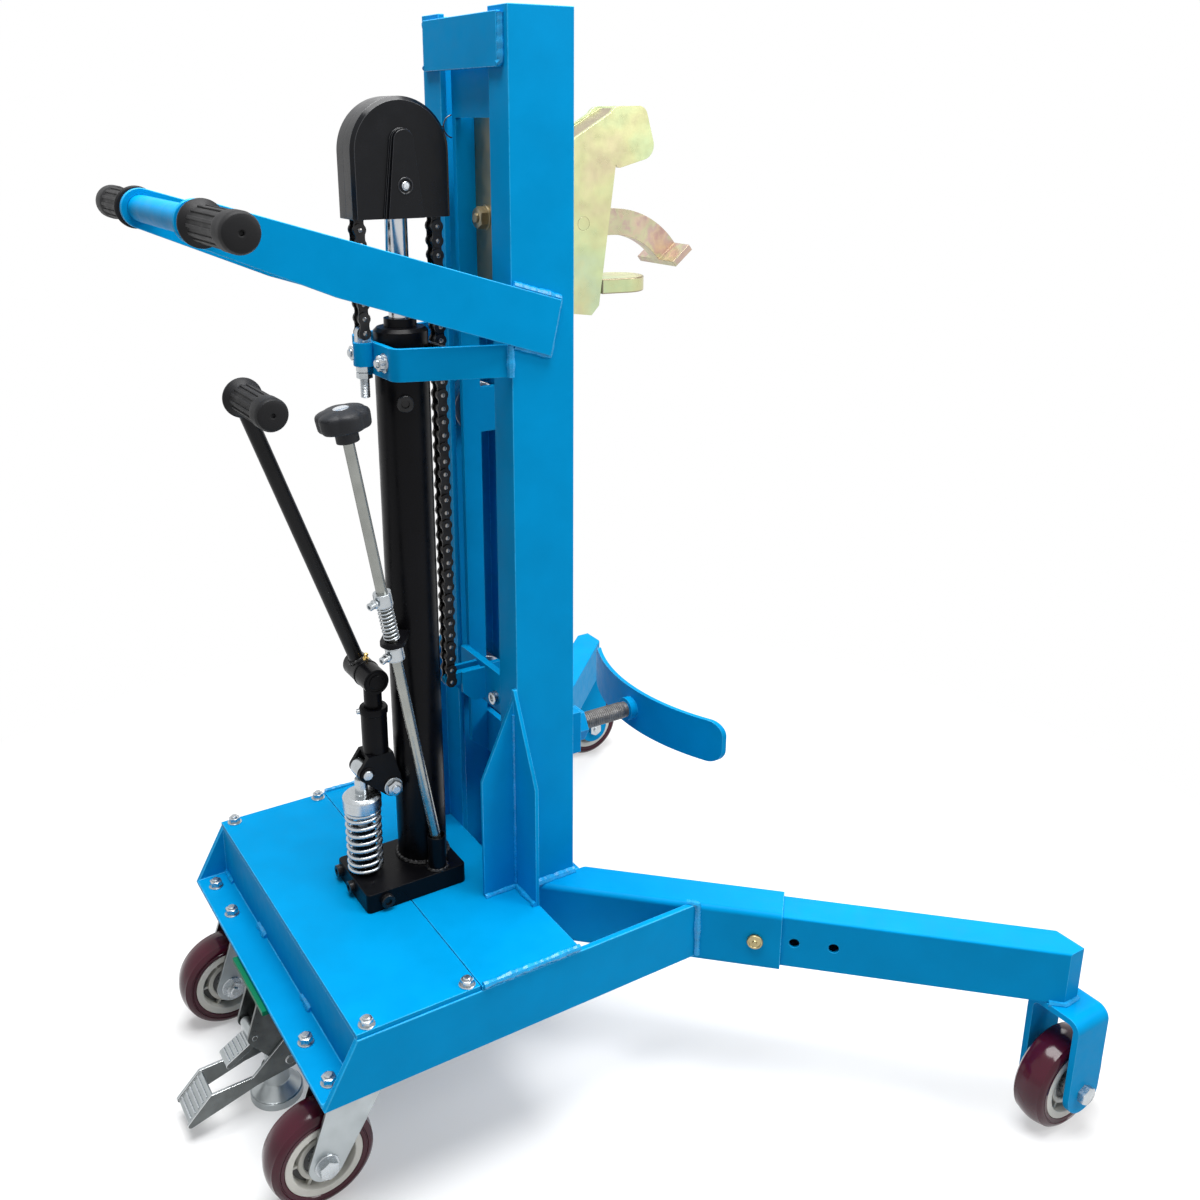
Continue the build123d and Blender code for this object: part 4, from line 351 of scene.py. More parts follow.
class Shape:
    """Gathers shapes with their materials and makes one piece of them."""

    def __init__(self):
        self.mesh = bmesh.new()
        self.materials = []

    def add(self, shape, material, place=Matrix()):
        if material not in self.materials:
            self.materials.append(material)
        corners = [self.mesh.verts.new(place @ point) for point in shape[0]]
        made = []
        for face in shape[1]:
            made.append(self.mesh.faces.new([corners[k] for k in face]))
            made[-1].material_index = self.materials.index(material)
            made[-1].smooth = True
        bmesh.ops.recalc_face_normals(self.mesh, faces=made)
        return self

    def piece(self, name, body, slot=None, stands_for=(), bevel=0.0, sharp=38, edge=None):
        data = bpy.data.meshes.new(name)
        self.mesh.to_mesh(data)
        self.mesh.free()
        for material in self.materials:
            data.materials.append(material)
        data.set_sharp_from_angle(angle=radians(sharp))
        made = bpy.data.objects.new(name, data)
        bpy.context.scene.collection.objects.link(made)
        if bevel:
            soften(made, bevel, edge)
        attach(made, body)
        if stands_for:
            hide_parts(*stands_for)
        return made


EDGE_ANGLE = radians(32)


def soften(made, width, material=None):
    """Rounds edges by a width in millimetres; a material shows on the rounding alone."""
    edge = made.modifiers.new("edge", "BEVEL")
    edge.width = width * MM
    edge.segments = 2
    edge.limit_method = "ANGLE"
    edge.angle_limit = EDGE_ANGLE
    edge.use_clamp_overlap = True
    if material:
        made.data.materials.append(material)
        edge.material = len(made.data.materials) - 1
    level = made.modifiers.new("level", "WEIGHTED_NORMAL")
    level.keep_sharp = True


# Finishes of the solids
EDGE_DEFAULT = 0.9
EDGES = {"base_frame": 1.4, "clamp_housing": 1.2, "beak": 1.6, "chin_jaw": 1.6, "chain_hood_right": 1.5,
         "chain_hood_left": 1.5, "pump_base": 1.2, "cylinder_strap": 1.2, "lock_pedal": 1.0,
         "deck_cover": 0.7, "deck_plate": 0.7, "leg_extension_right": 2.2, "leg_extension_left": 2.2}
MERGE_GAP = 0.02
FLAT_ANGLE = radians(0.8)
SIDEWAYS = 0.7
ANCHOR_SLEEVE_Z = (921.5, 948.5)
AXLE_END_Z = 90
AXLE_END_Y = 36.2
BAND_STUD_R = 11.2
BAND_DEPTH = 50
ROCKER_BOLT_Y, ROCKER_BOLT_R = 16.8, 7
ROLLER_Y, ROLLER_R = 10.3, 11.3
LOCK_PLATE_Z = 169.5
CLAMP_WEB_X, CLAMP_WEB_Z, CLAMP_WEB_Y = 46, 1100, 19.5
CLAMP_REAR_X = 36.5
BEAK_EYE_R = 14
RELEASE_ROD_R = 7.2


def dress_solid(name):
    """Paints a solid, merges its flat faces and rounds its edges."""
    made = NODES[name]
    made.data.materials.clear()
    rough_zinc = name.startswith(("caster_", "lock_")) and SLOT_OF[name] == "zinc"
    made.data.materials.append(GALVANISED if rough_zinc else FINISH[SLOT_OF[name]])
    made.data.polygons.foreach_set("use_smooth", [True] * len(made.data.polygons))
    weld = made.modifiers.new("weld", "WELD")
    weld.merge_threshold = MERGE_GAP * MM
    flat = made.modifiers.new("flat", "DECIMATE")
    flat.decimate_type = "DISSOLVE"
    flat.angle_limit = FLAT_ANGLE
    flat.delimit = {"MATERIAL"}
    edge = EDGE_FINISH_OF.get(name, EDGE_FINISH.get(SLOT_OF[name]))
    soften(made, EDGES.get(name, EDGE_DEFAULT), edge)


def recolour(name, material, chosen=None, sideways=False):
    """Gives a second finish to the faces of a solid whose middles pass a test, or to its sides alone."""
    data = NODES[name].data
    data.materials.append(material)
    index = len(data.materials) - 1
    for face in data.polygons:
        if (chosen is None or chosen(face.center)) and (abs(face.normal.y) > SIDEWAYS or not sideways):
            face.material_index = index


def recolour_drive():
    """Zinc bolt and roller of the rocker, satin lever, ground rod and the anchor's painted sleeve."""
    foot, top = ANCHOR_SLEEVE_Z
    recolour("chain_anchor", BLUE, lambda c: foot * MM < c.z < top * MM)
    bolt, roller = pivot("pump_rock"), at(ROLLER_X, 0, ROLLER_Z)
    recolour("pump_rocker", ZINC,
             lambda c: abs(c.y) > ROCKER_BOLT_Y * MM and off_axis(c, bolt) < ROCKER_BOLT_R * MM)
    recolour("pump_rocker", ZINC, lambda c: abs(c.y) < ROLLER_Y * MM and off_axis(c, roller) < ROLLER_R * MM)
    recolour("pump_lever", LEVER)
    start, run = pivot("release_turn"), axis_of("release_turn")
    recolour("release_rod", ROD, lambda c: (c - start).cross(run).length < RELEASE_ROD_R * MM)


def recolour_clamp():
    """Bronzed inner web and rear of the clamp, its pink beak, and the dark stud of the band."""
    web = at(CLAMP_WEB_X, 0, CLAMP_WEB_Z)
    recolour("clamp_housing", BRONZE,
             lambda c: abs(c.y) < CLAMP_WEB_Y * MM and c.x > web.x and c.z > web.z)
    rear = at(CLAMP_REAR_X, 0, 0).x
    recolour("clamp_housing", BRONZE, lambda c: c.x < rear)
    pin = pivot("beak_open")
    recolour("beak", PINK_ZINC, lambda c: off_axis(c, pin) > BEAK_EYE_R * MM)
    stud, front = middle("belly_band").z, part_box("belly_band")[1].x - BAND_DEPTH * MM
    recolour("belly_band", STUD, lambda c: hypot(c.y, c.z - stud) < BAND_STUD_R * MM and c.x < front)


def recolour_base():
    """Zinc ends of the front axles, the floor lock's dark bracket, and its pedals' sides painted dark as painted
    shade.
    """
    for side in SIDES:
        fork = pivot(f"front_wheel_{side}_roll").y
        recolour(f"leg_extension_{side}", ZINC,
                 lambda c: c.z < AXLE_END_Z * MM and abs(c.y - fork) > AXLE_END_Y * MM)
    # The pedals' side faces take the dark steel: painted shade.
    for pedal in ("lock_pedal", "lock_release"):
        recolour(pedal, DARK_STEEL_AND_SHADE, sideways=True)
    recolour("lock_bracket", DARK_STEEL_AND_SHADE, lambda c: c.z < LOCK_PLATE_Z * MM)


def dress_solids():
    for name in NODES:
        dress_solid(name)
    recolour_drive()
    recolour_clamp()
    recolour_base()


# Wheels
TYRE_HALF = 21
TYRE_BORE = 46
CORE_RIBS = 6
FRONT_HUB, CASTER_HUB = 27.4, 23.6


def wheel(name, hub_reach):
    """Crowned tyre with grooved shoulders, and a core with a pale face ring, a recess painted dark as painted
    shade, and a hub.
    """
    place = along(pivot(f"{name}_roll"), (0, 1, 0))
    low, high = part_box(name)
    radius = (high.z - low.z) / 2 / MM
    flank = [(TYRE_BORE, 2), (TYRE_BORE + 1.5, 0.3), (TYRE_BORE + 5, 0), (TYRE_BORE + 5.6, 0.9),
             (TYRE_BORE + 6.6, 0.9), (TYRE_BORE + 7.2, 0)]
    shoulder = [(radius - 8.4, 0.3), (radius - 5.6, 2.0), (radius - 3.9, 3.8), (radius - 3.0, 4.4),
                (radius - 2.9, 5.4)]
    crown = [(radius - 1.9, 8.6), (radius - 0.9, 12.6), (radius - 0.2, 16.8), (radius, 20)]
    half_tyre = [(r, TYRE_HALF - depth) for r, depth in flank + shoulder + crown]
    tyre = Shape().add(ring_lathe(both_faces(half_tyre), 96), TYRE, place)
    tyre.piece(f"{name}_tyre", name, "maroon_tyre", (name,), sharp=26)
    face = TYRE_HALF - 0.8
    ring = [(TYRE_BORE + 0.3, face), (TYRE_BORE - 1, face + 0.5), (38, face + 0.5), (37, face - 1), (36, 6)]
    web = [(36.4, 7), (28, 6)]
    dish = [(23, 12), (15.5, 12)]
    rib_ring = [(29.5, 6), (29, 14.5), (28, 15.5), (23.5, 15.5), (22.5, 14), (22.5, 6)]
    hub = [(16.5, hub_reach - 1.5), (15.5, hub_reach), (7, hub_reach)]
    core = Shape()
    core.add(ring_lathe(both_faces(ring), 72), CORE, place)
    # The web and the dish take the dark recess colour: painted shade.
    for band, material in ((web, RECESS_SHADE), (dish, RECESS_SHADE), (rib_ring, CORE)):
        core.add(ring_lathe(both_faces(band), 60), material, place)
    rib = prism(strip(28, 37, 1.8), -13 * MM, 13 * MM)
    for k in range(CORE_RIBS):
        core.add(rib, CORE, place @ Matrix.Rotation(2 * pi * k / CORE_RIBS, 4, "Z"))
    core.add(ring_lathe(both_faces(hub), 40), ZINC, place)
    core.piece(f"{name}_core", name, "maroon_tyre", bevel=0.5)


def wheels():
    for side in SIDES:
        wheel(f"front_wheel_{side}", FRONT_HUB)
        wheel(f"caster_wheel_{side}", CASTER_HUB)


# Chain: the run over the wheel moves with the ram; the strands that end at the anchor and at the carriage
# slip inside it, a hair narrower, so that the run stays whole as the lift moves
PITCH = 15.875
PLATE_R = 7.2
PLATE_T = 2.0
PLATE_FILL = 0.92
PLATE_WAIST = 0.93
PLATE_OPENS = 52
INNER_Y = 4.9
CHAIN_ROLLER_R = 5.08
REAR_LINKS = 12
WRAP_LINKS = 9
FRONT_LINKS = 40
LINKS_UP = 4
LINKS_DOWN = 3
SPARE_LINKS = 3
NARROW = 0.985


def chain_pins():
    """Places of the pins, up from the anchor, over the wheel and down to the carriage."""
    centre = pivot("chain_wheel_spin")
    pitch = PITCH * MM
    radius = pitch / 2 / sin(pi / (2 * WRAP_LINKS))
    pins = [Vector((centre.x - radius, 0, centre.z - (REAR_LINKS - k) * pitch)) for k in range(REAR_LINKS)]
    for k in range(WRAP_LINKS + 1):
        turn = pi - k * pi / WRAP_LINKS
        pins.append(Vector((centre.x + radius * cos(turn), 0, centre.z + radius * sin(turn))))
    pins += [Vector((centre.x + radius, 0, centre.z - (k + 1) * pitch)) for k in range(FRONT_LINKS)]
    return pins


def link_outline():
    """Plate of two round ends and a slight waist, from one pin to the next."""
    left = arc(0, 0, PLATE_R, PLATE_OPENS, 360 - PLATE_OPENS, 12)
    right = [(PITCH - x, y) for x, y in reversed(left)]
    waist = PLATE_R * sin(radians(PLATE_OPENS)) * PLATE_WAIST
    return mm(*left, (PITCH / 2, -waist), *right, (PITCH / 2, waist))


def chain_piece(name, body, pins, first, last, stands_for, width=1.0):
    made = Shape()
    outline = link_outline()
    squeeze = Matrix.Diagonal((1, width, 1, 1))
    for index in range(first, last):
        start = pins[index]
        turn = (pins[index + 1] - start).normalized()
        place = Matrix(((turn.x, -turn.z, 0, start.x), (0, 0, -1, 0), (turn.z, turn.x, 0, start.z),
                        (0, 0, 0, 1)))
        near = INNER_Y + (PLATE_T if index % 2 == 0 else 0)
        for side in (-1, 1):
            low, high = sorted((side * near * MM, side * (near + PLATE_T * PLATE_FILL) * MM))
            made.add(prism(outline, low, high), CHAIN, squeeze @ place)
    for index in range(first, last + 1):
        place = squeeze @ along(pins[index], (0, 1, 0))
        made.add(lathe(mm((CHAIN_ROLLER_R, -INNER_Y), (CHAIN_ROLLER_R, INNER_Y)), 20), CHAIN, place)
        made.add(lathe(both_faces([(0, 10.1), (1.6, 10.0), (2.6, 9.4)]), 14), PIN, place)
    made.piece(name, body, "chain_steel", (stands_for,), sharp=30)


def chain():
    pins = chain_pins()
    over = REAR_LINKS + WRAP_LINKS
    run_end = over + LINKS_UP + LINKS_DOWN + SPARE_LINKS
    chain_piece("chain_run", "ram", pins, LINKS_DOWN, run_end, "chain_wrap")
    chain_piece("chain_rear_strand", "base", pins, 0, REAR_LINKS - LINKS_DOWN, "chain_rear", NARROW)
    chain_piece("chain_front_strand", "carriage", pins, over + LINKS_UP, over + FRONT_LINKS, "chain_front",
                NARROW)


# Springs
FLAT_COILS = 0.9
CLOSED_RISE = 2.05
RELEASE_SPRING_AT = 290.3


def helix(mean, wire, length, turns, steps=36):
    """Closed-end spring about Z from 0 to its length, in millimetres: its end coils lie flat."""
    total = turns + 2 * FLAT_COILS
    count = int(total * steps)
    closed = CLOSED_RISE * wire
    rise = length - 2 * wire - 2 * closed
    points = []
    for k in range(count + 1):
        turn = total * k / count
        share = min(1.0, max(0.0, (turn - FLAT_COILS) / turns))
        ends = (min(turn, FLAT_COILS) + max(0.0, turn - FLAT_COILS - turns)) / FLAT_COILS
        height = wire + closed * ends + share * rise
        points.append(Vector((mean * cos(2 * pi * turn), mean * sin(2 * pi * turn), height)) * MM)
    return tube(points, wire * MM, 10)


def springs():
    low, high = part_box("pump_spring")
    axis = middle("pump_spring")
    length = high.z - low.z
    foot = Vector((axis.x, axis.y, low.z))
    made = Shape().add(helix(20.3, 2.6, length / MM, 7), ZINC, Matrix.Translation(foot))
    spring = made.piece("pump_spring_coil", "base", "zinc", ("pump_spring",))
    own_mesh(spring)
    rod = axis_of("release_turn")
    start = pivot("release_turn") + rod * RELEASE_SPRING_AT * MM
    coil = Shape().add(helix(8.8, 1.0, 44, 8), ZINC, along(start, rod))
    coil.piece("release_spring_coil", "release", "zinc", ("release_spring",))


# Grips and knob
GRIP_RIBS = 14
PUMP_GRIP_LENGTH = 128
PUMP_GRIP_R = 22


def grip(node_name, body, inner, outer, flange_r, sleeve_r, bore):
    """Rubber grip from its flange to its domed end, with long ribs in between."""
    place = along(inner, (outer - inner).normalized())
    length = (outer - inner).length / MM
    made = Shape()
    made.add(lathe(mm(
        (bore, 0), (flange_r - 1.5, 0), (flange_r, 1.5), (flange_r, 4.5), (flange_r - 2, 6.5),
        (sleeve_r + 1, 9), (sleeve_r - 1.5, 12), (sleeve_r - 1.5, length * 0.73),
        (sleeve_r + 0.4, length * 0.76), (sleeve_r + 1, length * 0.79), (sleeve_r + 1, length - 6),
        (sleeve_r - 1, length - 1.5), (sleeve_r - 5, length), (3, length), (2.2, length - 1),
        (2.2, length - 3), (0, length - 3)), 56), RUBBER, place)
    rib = prism(strip(12, length * 0.75, 1.7), (sleeve_r - 3) * MM, sleeve_r * MM)
    lengthwise = Matrix(((0, 0, 1, 0), (0, 1, 0, 0), (1, 0, 0, 0), (0, 0, 0, 1)))
    for k in range(GRIP_RIBS):
        made.add(rib, RUBBER, place @ Matrix.Rotation(2 * pi * k / GRIP_RIBS, 4, "Z") @ lengthwise)
    made.piece(f"{node_name}_rubber", body, "black_rubber", (node_name,), bevel=0.6)


def grips():
    for side, sign in SIDES.items():
        low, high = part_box(f"handle_grip_{side}")
        x, z = (low.x + high.x) / 2, (low.z + high.z) / 2
        inner, outer = (low.y, high.y) if sign > 0 else (high.y, low.y)
        grip(f"handle_grip_{side}", "base", Vector((x, inner, z)), Vector((x, outer, z)), 22.5, 17.5, 14)
    turn = axis_of("lever_fold")
    outward = -turn if turn.y > 0 else turn
    low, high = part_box("pump_grip")
    half = (high.y - low.y - 2 * PUMP_GRIP_R * MM * abs(turn.x)) / 2 / abs(turn.y)
    reach = outward * min(half, PUMP_GRIP_LENGTH / 2 * MM)
    centre = middle("pump_grip")
    grip("pump_grip", "lever", centre - reach, centre + reach, PUMP_GRIP_R, 17, 9)


KNOB_AT = 550
KNOB_LOBES = 6
KNOB_LOBE_R = 16
KNOB_REACH = 30.4
KNOB_VALLEY = 27.6
KNOB_BLEND = 2.4
KNOB_SIDES = 120
KNOB_RINGS = ((4.5, 0.4), (2.0, 1.2), (0.9, 3.0), (0.5, 6.0), (0, 15.0), (0.3, 17.5), (1.4, 19.4),
              (3.6, 20.8), (8.0, 22.4), (14.0, 23.8))


def knob_ring(inset, height):
    """Outline of the lobes, drawn in by an inset."""
    points = []
    arm = KNOB_REACH - KNOB_LOBE_R
    for k in range(KNOB_SIDES):
        turn = 2 * pi * k / KNOB_SIDES
        off = (turn + pi / KNOB_LOBES) % (2 * pi / KNOB_LOBES) - pi / KNOB_LOBES
        inside = KNOB_LOBE_R ** 2 - (arm * sin(off)) ** 2
        lobe = arm * cos(off) + sqrt(inside) if inside > 0 else 0
        soft = 0.5 * (lobe + KNOB_VALLEY + sqrt((lobe - KNOB_VALLEY) ** 2 + KNOB_BLEND ** 2)) - KNOB_BLEND / 6
        size = min(soft, KNOB_REACH) - inset
        points.append(Vector((size * cos(turn), size * sin(turn), height)) * MM)
    return points


def knob():
    """Knob of six soft lobes with a domed top, a bright cap in its middle and a collar below."""
    rod = axis_of("release_turn")
    place = along(pivot("release_turn") + rod * KNOB_AT * MM, rod)
    body = [circle(r, h, KNOB_SIDES) for r, h in mm((13, -14), (13, -1), (15, 0.2))]
    body += [knob_ring(inset, height) for inset, height in KNOB_RINGS]
    body += [circle(r, h, KNOB_SIDES) for r, h in mm((9.6, 24.1), (9.2, 23.2))]
    made = Shape().add(skin(body), KNOB, place)
    made.add(lathe(mm((9.1, 22.8), (9.1, 23.9), (7.5, 24.5), (4, 24.9), (0, 25.0))), CAP, place)
    made.piece("release_knob_moulding", "release", "black_plastic", ("release_knob",), sharp=50)


# Fasteners and fittings
WASHER_T = 1.8
COVER_BOLT_Y = 233
SHELF_TOP = 182
CASTER_BOLT_X, CASTER_BOLT_Y = 38, 36
LEG_LEAN = radians(44)
LEG_CROSS_X, LEG_Z = -41, 210
LEG_PIN_AT = 397
LEG_HALF = 28


def fixing(made, origin, direction, head, height, washer=0.0, tip=0.0, material=ZINC):
    """Nut or bolt head on its washer, with the end of the bolt; sizes in millimetres."""
    place = along(origin, direction)
    rise = WASHER_T if washer else 0.0
    if washer:
        made.add(lathe(mm((washer, 0), (washer, 1.2), (washer - 0.6, WASHER_T)), 36), material, place)
    made.add(hex_head(head * MM, height * MM), material, place @ Matrix.Translation((0, 0, rise * MM)))
    if tip:
        top = rise + height
        made.add(lathe(mm((tip, top - 1), (tip, top + 1.8), (tip - 1, top + 2.8)), 20), material, place)


def socket_plug(made, origin, direction, radius, height, material):
    """Round plug or screw head with a bevelled rim and a sunken socket; sizes in millimetres."""
    place = along(origin, direction)
    hole = radius * 0.5
    rim = mm((radius, -1), (radius, height - 0.8), (radius - 0.8, height), (hole, height), (hole, -1))
    made.add(ring_lathe(rim, 32), material, place)
    made.add(lathe(mm((hole, -0.8), (hole, height - 2.5)), 6), material, place)


def deck_fixings():
    made = Shape()
    low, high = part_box("deck_cover")
    for x in (low.x + 16 * MM, high.x - 12 * MM):
        for sign in SIDES.values():
            fixing(made, Vector((x, sign * COVER_BOLT_Y * MM, high.z)), UP, 7.6, 6.0, 9.5, 4.6)
    for side in SIDES:
        centre = pivot(f"caster_{side}_swivel")
        for x in (-CASTER_BOLT_X, CASTER_BOLT_X):
            for y in (-CASTER_BOLT_Y, CASTER_BOLT_Y):
                seat = Vector((centre.x + x * MM, centre.y + y * MM, SHELF_TOP * MM))
                fixing(made, seat, UP, 8.4, 7.4, 9.6, 5.0)
    made.piece("frame_fixings", "base", "zinc", ("frame_nuts",))


def axle_bolts():
    """Bolt heads and nuts on both faces of each wheel's fork."""
    for side, sign in SIDES.items():
        for joint, body, face, head, washer in (
                (f"caster_wheel_{side}_roll", f"caster_{side}", 28.4, 12.0, 14.5),
                (f"front_wheel_{side}_roll", f"leg_{side}", 36.0, 12.6, 0.0)):
            made = Shape()
            for out, tip in ((sign, 0.0), (-sign, 6.0)):
                seat = pivot(joint) + Vector((0, out * face * MM, 0))
                fixing(made, seat, (0, out, 0), head, 8.4, washer, tip)
            made.piece(f"axle_bolts_{body}", body, "zinc")


def strap_bolts():
    """Bolt heads that draw the strap to the bar behind the cylinder."""
    made = Shape()
    low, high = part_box("strap_clamp")
    for sign in SIDES.values():
        seat = Vector((low.x + 8 * MM, sign * 38 * MM, (low.z + high.z) / 2))
        fixing(made, seat, (-1, 0, 0), 9.0, 6.6, 11.0, 5.0)
    made.piece("strap_bolts", "base", "zinc")


def clamp_nuts():
    """Nuts that hold the clamp to its carriage, seen between the channels."""
    made = Shape()
    for sign in SIDES.values():
        fixing(made, at(36, sign * 25, 1074), (-1, 0, 0), 13.0, 9.0, 15.0, 6.0, BRONZE)
    made.piece("clamp_nuts", "carriage", "yellow_zinc")


def leg_pin_heads():
    """Locking pins: a flat head with a raised rim."""
    made = Shape()
    profile = mm((6, -4), (6, -0.2), (9.6, -0.2), (10, 0.8), (10, 3.4), (9, 4.6), (7.6, 4.6), (7, 3.6),
                 (3, 3.6), (2.2, 4.8), (0, 5.2))
    for sign in SIDES.values():
        outward = Vector((-sin(LEG_LEAN), sign * cos(LEG_LEAN), 0))
        run = Vector((cos(LEG_LEAN), sign * sin(LEG_LEAN), 0))
        foot = at(LEG_CROSS_X, 0, LEG_Z) + run * LEG_PIN_AT * MM + outward * LEG_HALF * MM
        made.add(lathe(profile, 40), PIN_HEAD, along(foot, outward))
    made.piece("leg_pin_heads", "base", "yellow_zinc", ("leg_pins",))


COLLARS_AT = (334.6, 264.0)
COLLAR_HALF = 8
COLLAR_RIM = mm((10.6, -0.5), (10.6, 0.5), (7, 0.5), (7, -0.5))


def rod_screws():
    """Set screws of the two collars on the release rod, and the collars' rims."""
    made = Shape()
    rod = axis_of("release_turn")
    point = Vector((-0.93, -0.37, 0))
    point = (point - rod * point.dot(rod)).normalized()
    for foot in COLLARS_AT:
        centre = pivot("release_turn") + rod * (foot + COLLAR_HALF) * MM
        place = along(centre, point)
        made.add(lathe(mm((3.2, 8), (3.2, 16.5)), 20), ZINC, place)
        nut = mm((4.6, 12.5), (5.6, 13.5), (5.6, 15), (4.4, 16), (3, 16), (3, 12.5))
        made.add(ring_lathe(nut, 24), ZINC, place)
        socket_plug(made, centre + point * 17 * MM, point, 4.6, 6.0, ZINC)
        for reach in (-COLLAR_HALF - 0.1, COLLAR_HALF + 0.1):
            made.add(ring_lathe(COLLAR_RIM, 40), ZINC, along(centre + rod * reach * MM, rod))
    made.piece("rod_set_screws", "release", "zinc")


ROCKER_FACE_Y = 16.3


def rocker_fittings():
    """Pins and nuts of the rocker, the lip and screw of its socket and the rings on the knuckle's face."""
    made = Shape()
    for sign in SIDES.values():
        out = Vector((0, sign, 0))
        roller = along(at(ROLLER_X, sign * ROCKER_FACE_Y, ROLLER_Z), out)
        made.add(lathe(mm((9, 0), (9, 1.4), (8.2, 2)), 32), BLACK, roller)
        made.add(lathe(mm((6.2, 0), (6.2, 3.6), (5.2, 4.6), (0, 4.8)), 32), ZINC, roller)
        fixing(made, at(ROCKER_BOLT_X, sign * ROCKER_FACE_Y, ROCKER_BOLT_Z), out, 10.5, 6.2, 12.0, 5.6)
    lip = mm((15.8, 496), (17.4, 497.5), (17.6, 503), (16.4, 505.4), (12.6, 505.8), (11.3, 504.8),
             (11.3, 496))
    made.add(ring_lathe(lip, 48), BLACK, Matrix.Translation(at(POST_X, 0, 0)))
    screw = Vector((-0.9, 0.2, 0)).normalized()
    socket_plug(made, at(POST_X, 0, 500.5) + screw * 16 * MM, screw, 3.4, 5.0, ZINC)
    face = along(at(POST_X, -13.9, KNUCKLE_Z), (0, -1, 0))
    made.add(ring_lathe(mm((13.6, -0.5), (13.4, 0.9), (12.2, 0.9), (12, -0.5)), 48), BLACK, face)
    made.add(lathe(mm((8.8, -0.5), (8.8, 1.1), (8, 1.8), (0, 1.8)), 40), BLACK, face)
    made.piece("rocker_fittings", "rocker", "black_paint")


LEVER_LEAN = radians(19)
SLEEVE_R = 16.0
LEVER_R = 9.4
LEVER_WELD_R = 9.6
LEVER_WELD_STEPS = 56


def lever_fittings():
    """Lip of the lever's sleeve, its grease nipple, and the weld where the lever meets the sleeve."""
    made = Shape()
    lip = mm((13, 0), (16.2, 0), (16.9, 0.8), (16.9, 2.6), (16, 3.6), (13, 3.6))
    made.add(ring_lathe(lip, 48), BLACK, along(at(POST_X, 14.6, KNUCKLE_Z), (0, 1, 0)))
    nipple = along(at(-142, 21.5, 557.5), (0.12, 0, 1))
    made.add(hex_head(3.9 * MM, 3.2 * MM), BRASS, nipple)
    made.add(lathe(mm((2.3, 3), (2.0, 5), (2.9, 6), (2.9, 7.4), (1.6, 8.6), (0, 8.8)), 20), BRASS, nipple)
    axis = Vector((-sin(LEVER_LEAN), 0, cos(LEVER_LEAN)))
    side = Vector((cos(LEVER_LEAN), 0, sin(LEVER_LEAN)))
    hinge = at(POST_X, 33.4, KNUCKLE_Z)
    path = []
    for k in range(LEVER_WELD_STEPS + 1):
        turn = 2 * pi * k / LEVER_WELD_STEPS
        rise = sqrt(SLEEVE_R ** 2 - (LEVER_R * cos(turn)) ** 2) + 0.4
        ring = side * cos(turn) + Vector((0, sin(turn), 0))
        path.append(hinge + (axis * rise + ring * LEVER_WELD_R) * MM)
    made.add(tube(path, 2.3 * MM, 8, beaded(0.22, 1.7)), WELD_BLACK)
    made.piece("lever_fittings", "lever", "black_paint")


def cylinder_fittings():
    """Plugs of the pump base and cylinder, and the welds round their feet."""
    made = Shape()
    for y in (30, -10):
        socket_plug(made, at(-188, y, 271), (-1, 0, 0), 8.0, 6.0, WELD_BLACK)
    socket_plug(made, at(-163, -58, 271), (0, -1, 0), 8.6, 6.0, WELD_BLACK)
    point = Vector((-0.35, -0.94, 0)).normalized()
    socket_plug(made, at(CYLINDER_X, 0, 880) + point * 30.4 * MM, point, 9.6, 5.0, WELD_BLACK)
    for y, radius, thick in ((0, 31.6, 3.0), (-44, 12.0, 2.2)):
        steps = int(radius * 4)
        foot = at(CYLINDER_X, y, PUMP_BASE_TOP)
        path = [foot + spot for spot in circle(radius * MM, 0, steps)]
        made.add(tube(path + path[:1], thick * MM, 8, beaded(0.2, 1.6)), WELD_BLACK)
    made.piece("cylinder_fittings", "base", "black_paint")


ANCHOR_X = -132.7


def chain_fittings():
    """Thread of the anchor's rod, washer on its nuts, and the bolts of the carriage's hitch."""
    made = Shape()
    thread = screw_thread(5.5 * MM, 0.7 * MM, 1.8 * MM, 21.6 * MM, 24)
    made.add(thread, ZINC, Matrix.Translation(at(ANCHOR_X, 0, 886.2)))
    washer = mm((8.9, 921.0), (8.9, 922.2), (5, 922.2), (5, 921.0))
    made.add(ring_lathe(washer, 36), ZINC, Matrix.Translation(at(ANCHOR_X, 0, 0)))
    made.piece("anchor_thread", "base", "zinc")
    hitch = Shape()
    for y in (-42, 42):
        socket_plug(hitch, at(3, y, 496), (-1, 0, 0), 8.5, 7.0, ZINC)
    hitch.piece("hitch_bolts", "carriage", "zinc")


HOOD_Z = 1149
RIB_FOOT, RIB_HEAD = 20.5, 11.5
RIB_LOW, RIB_SHOULDER = -67.5, 12.0
RIB_FACES = (25.6, 29.6)
DISH_DROP = -34.0
HOOK_AT = (-18, -9, 1175)
HOOK_R = 12
HOOK_WIRE = 0.8


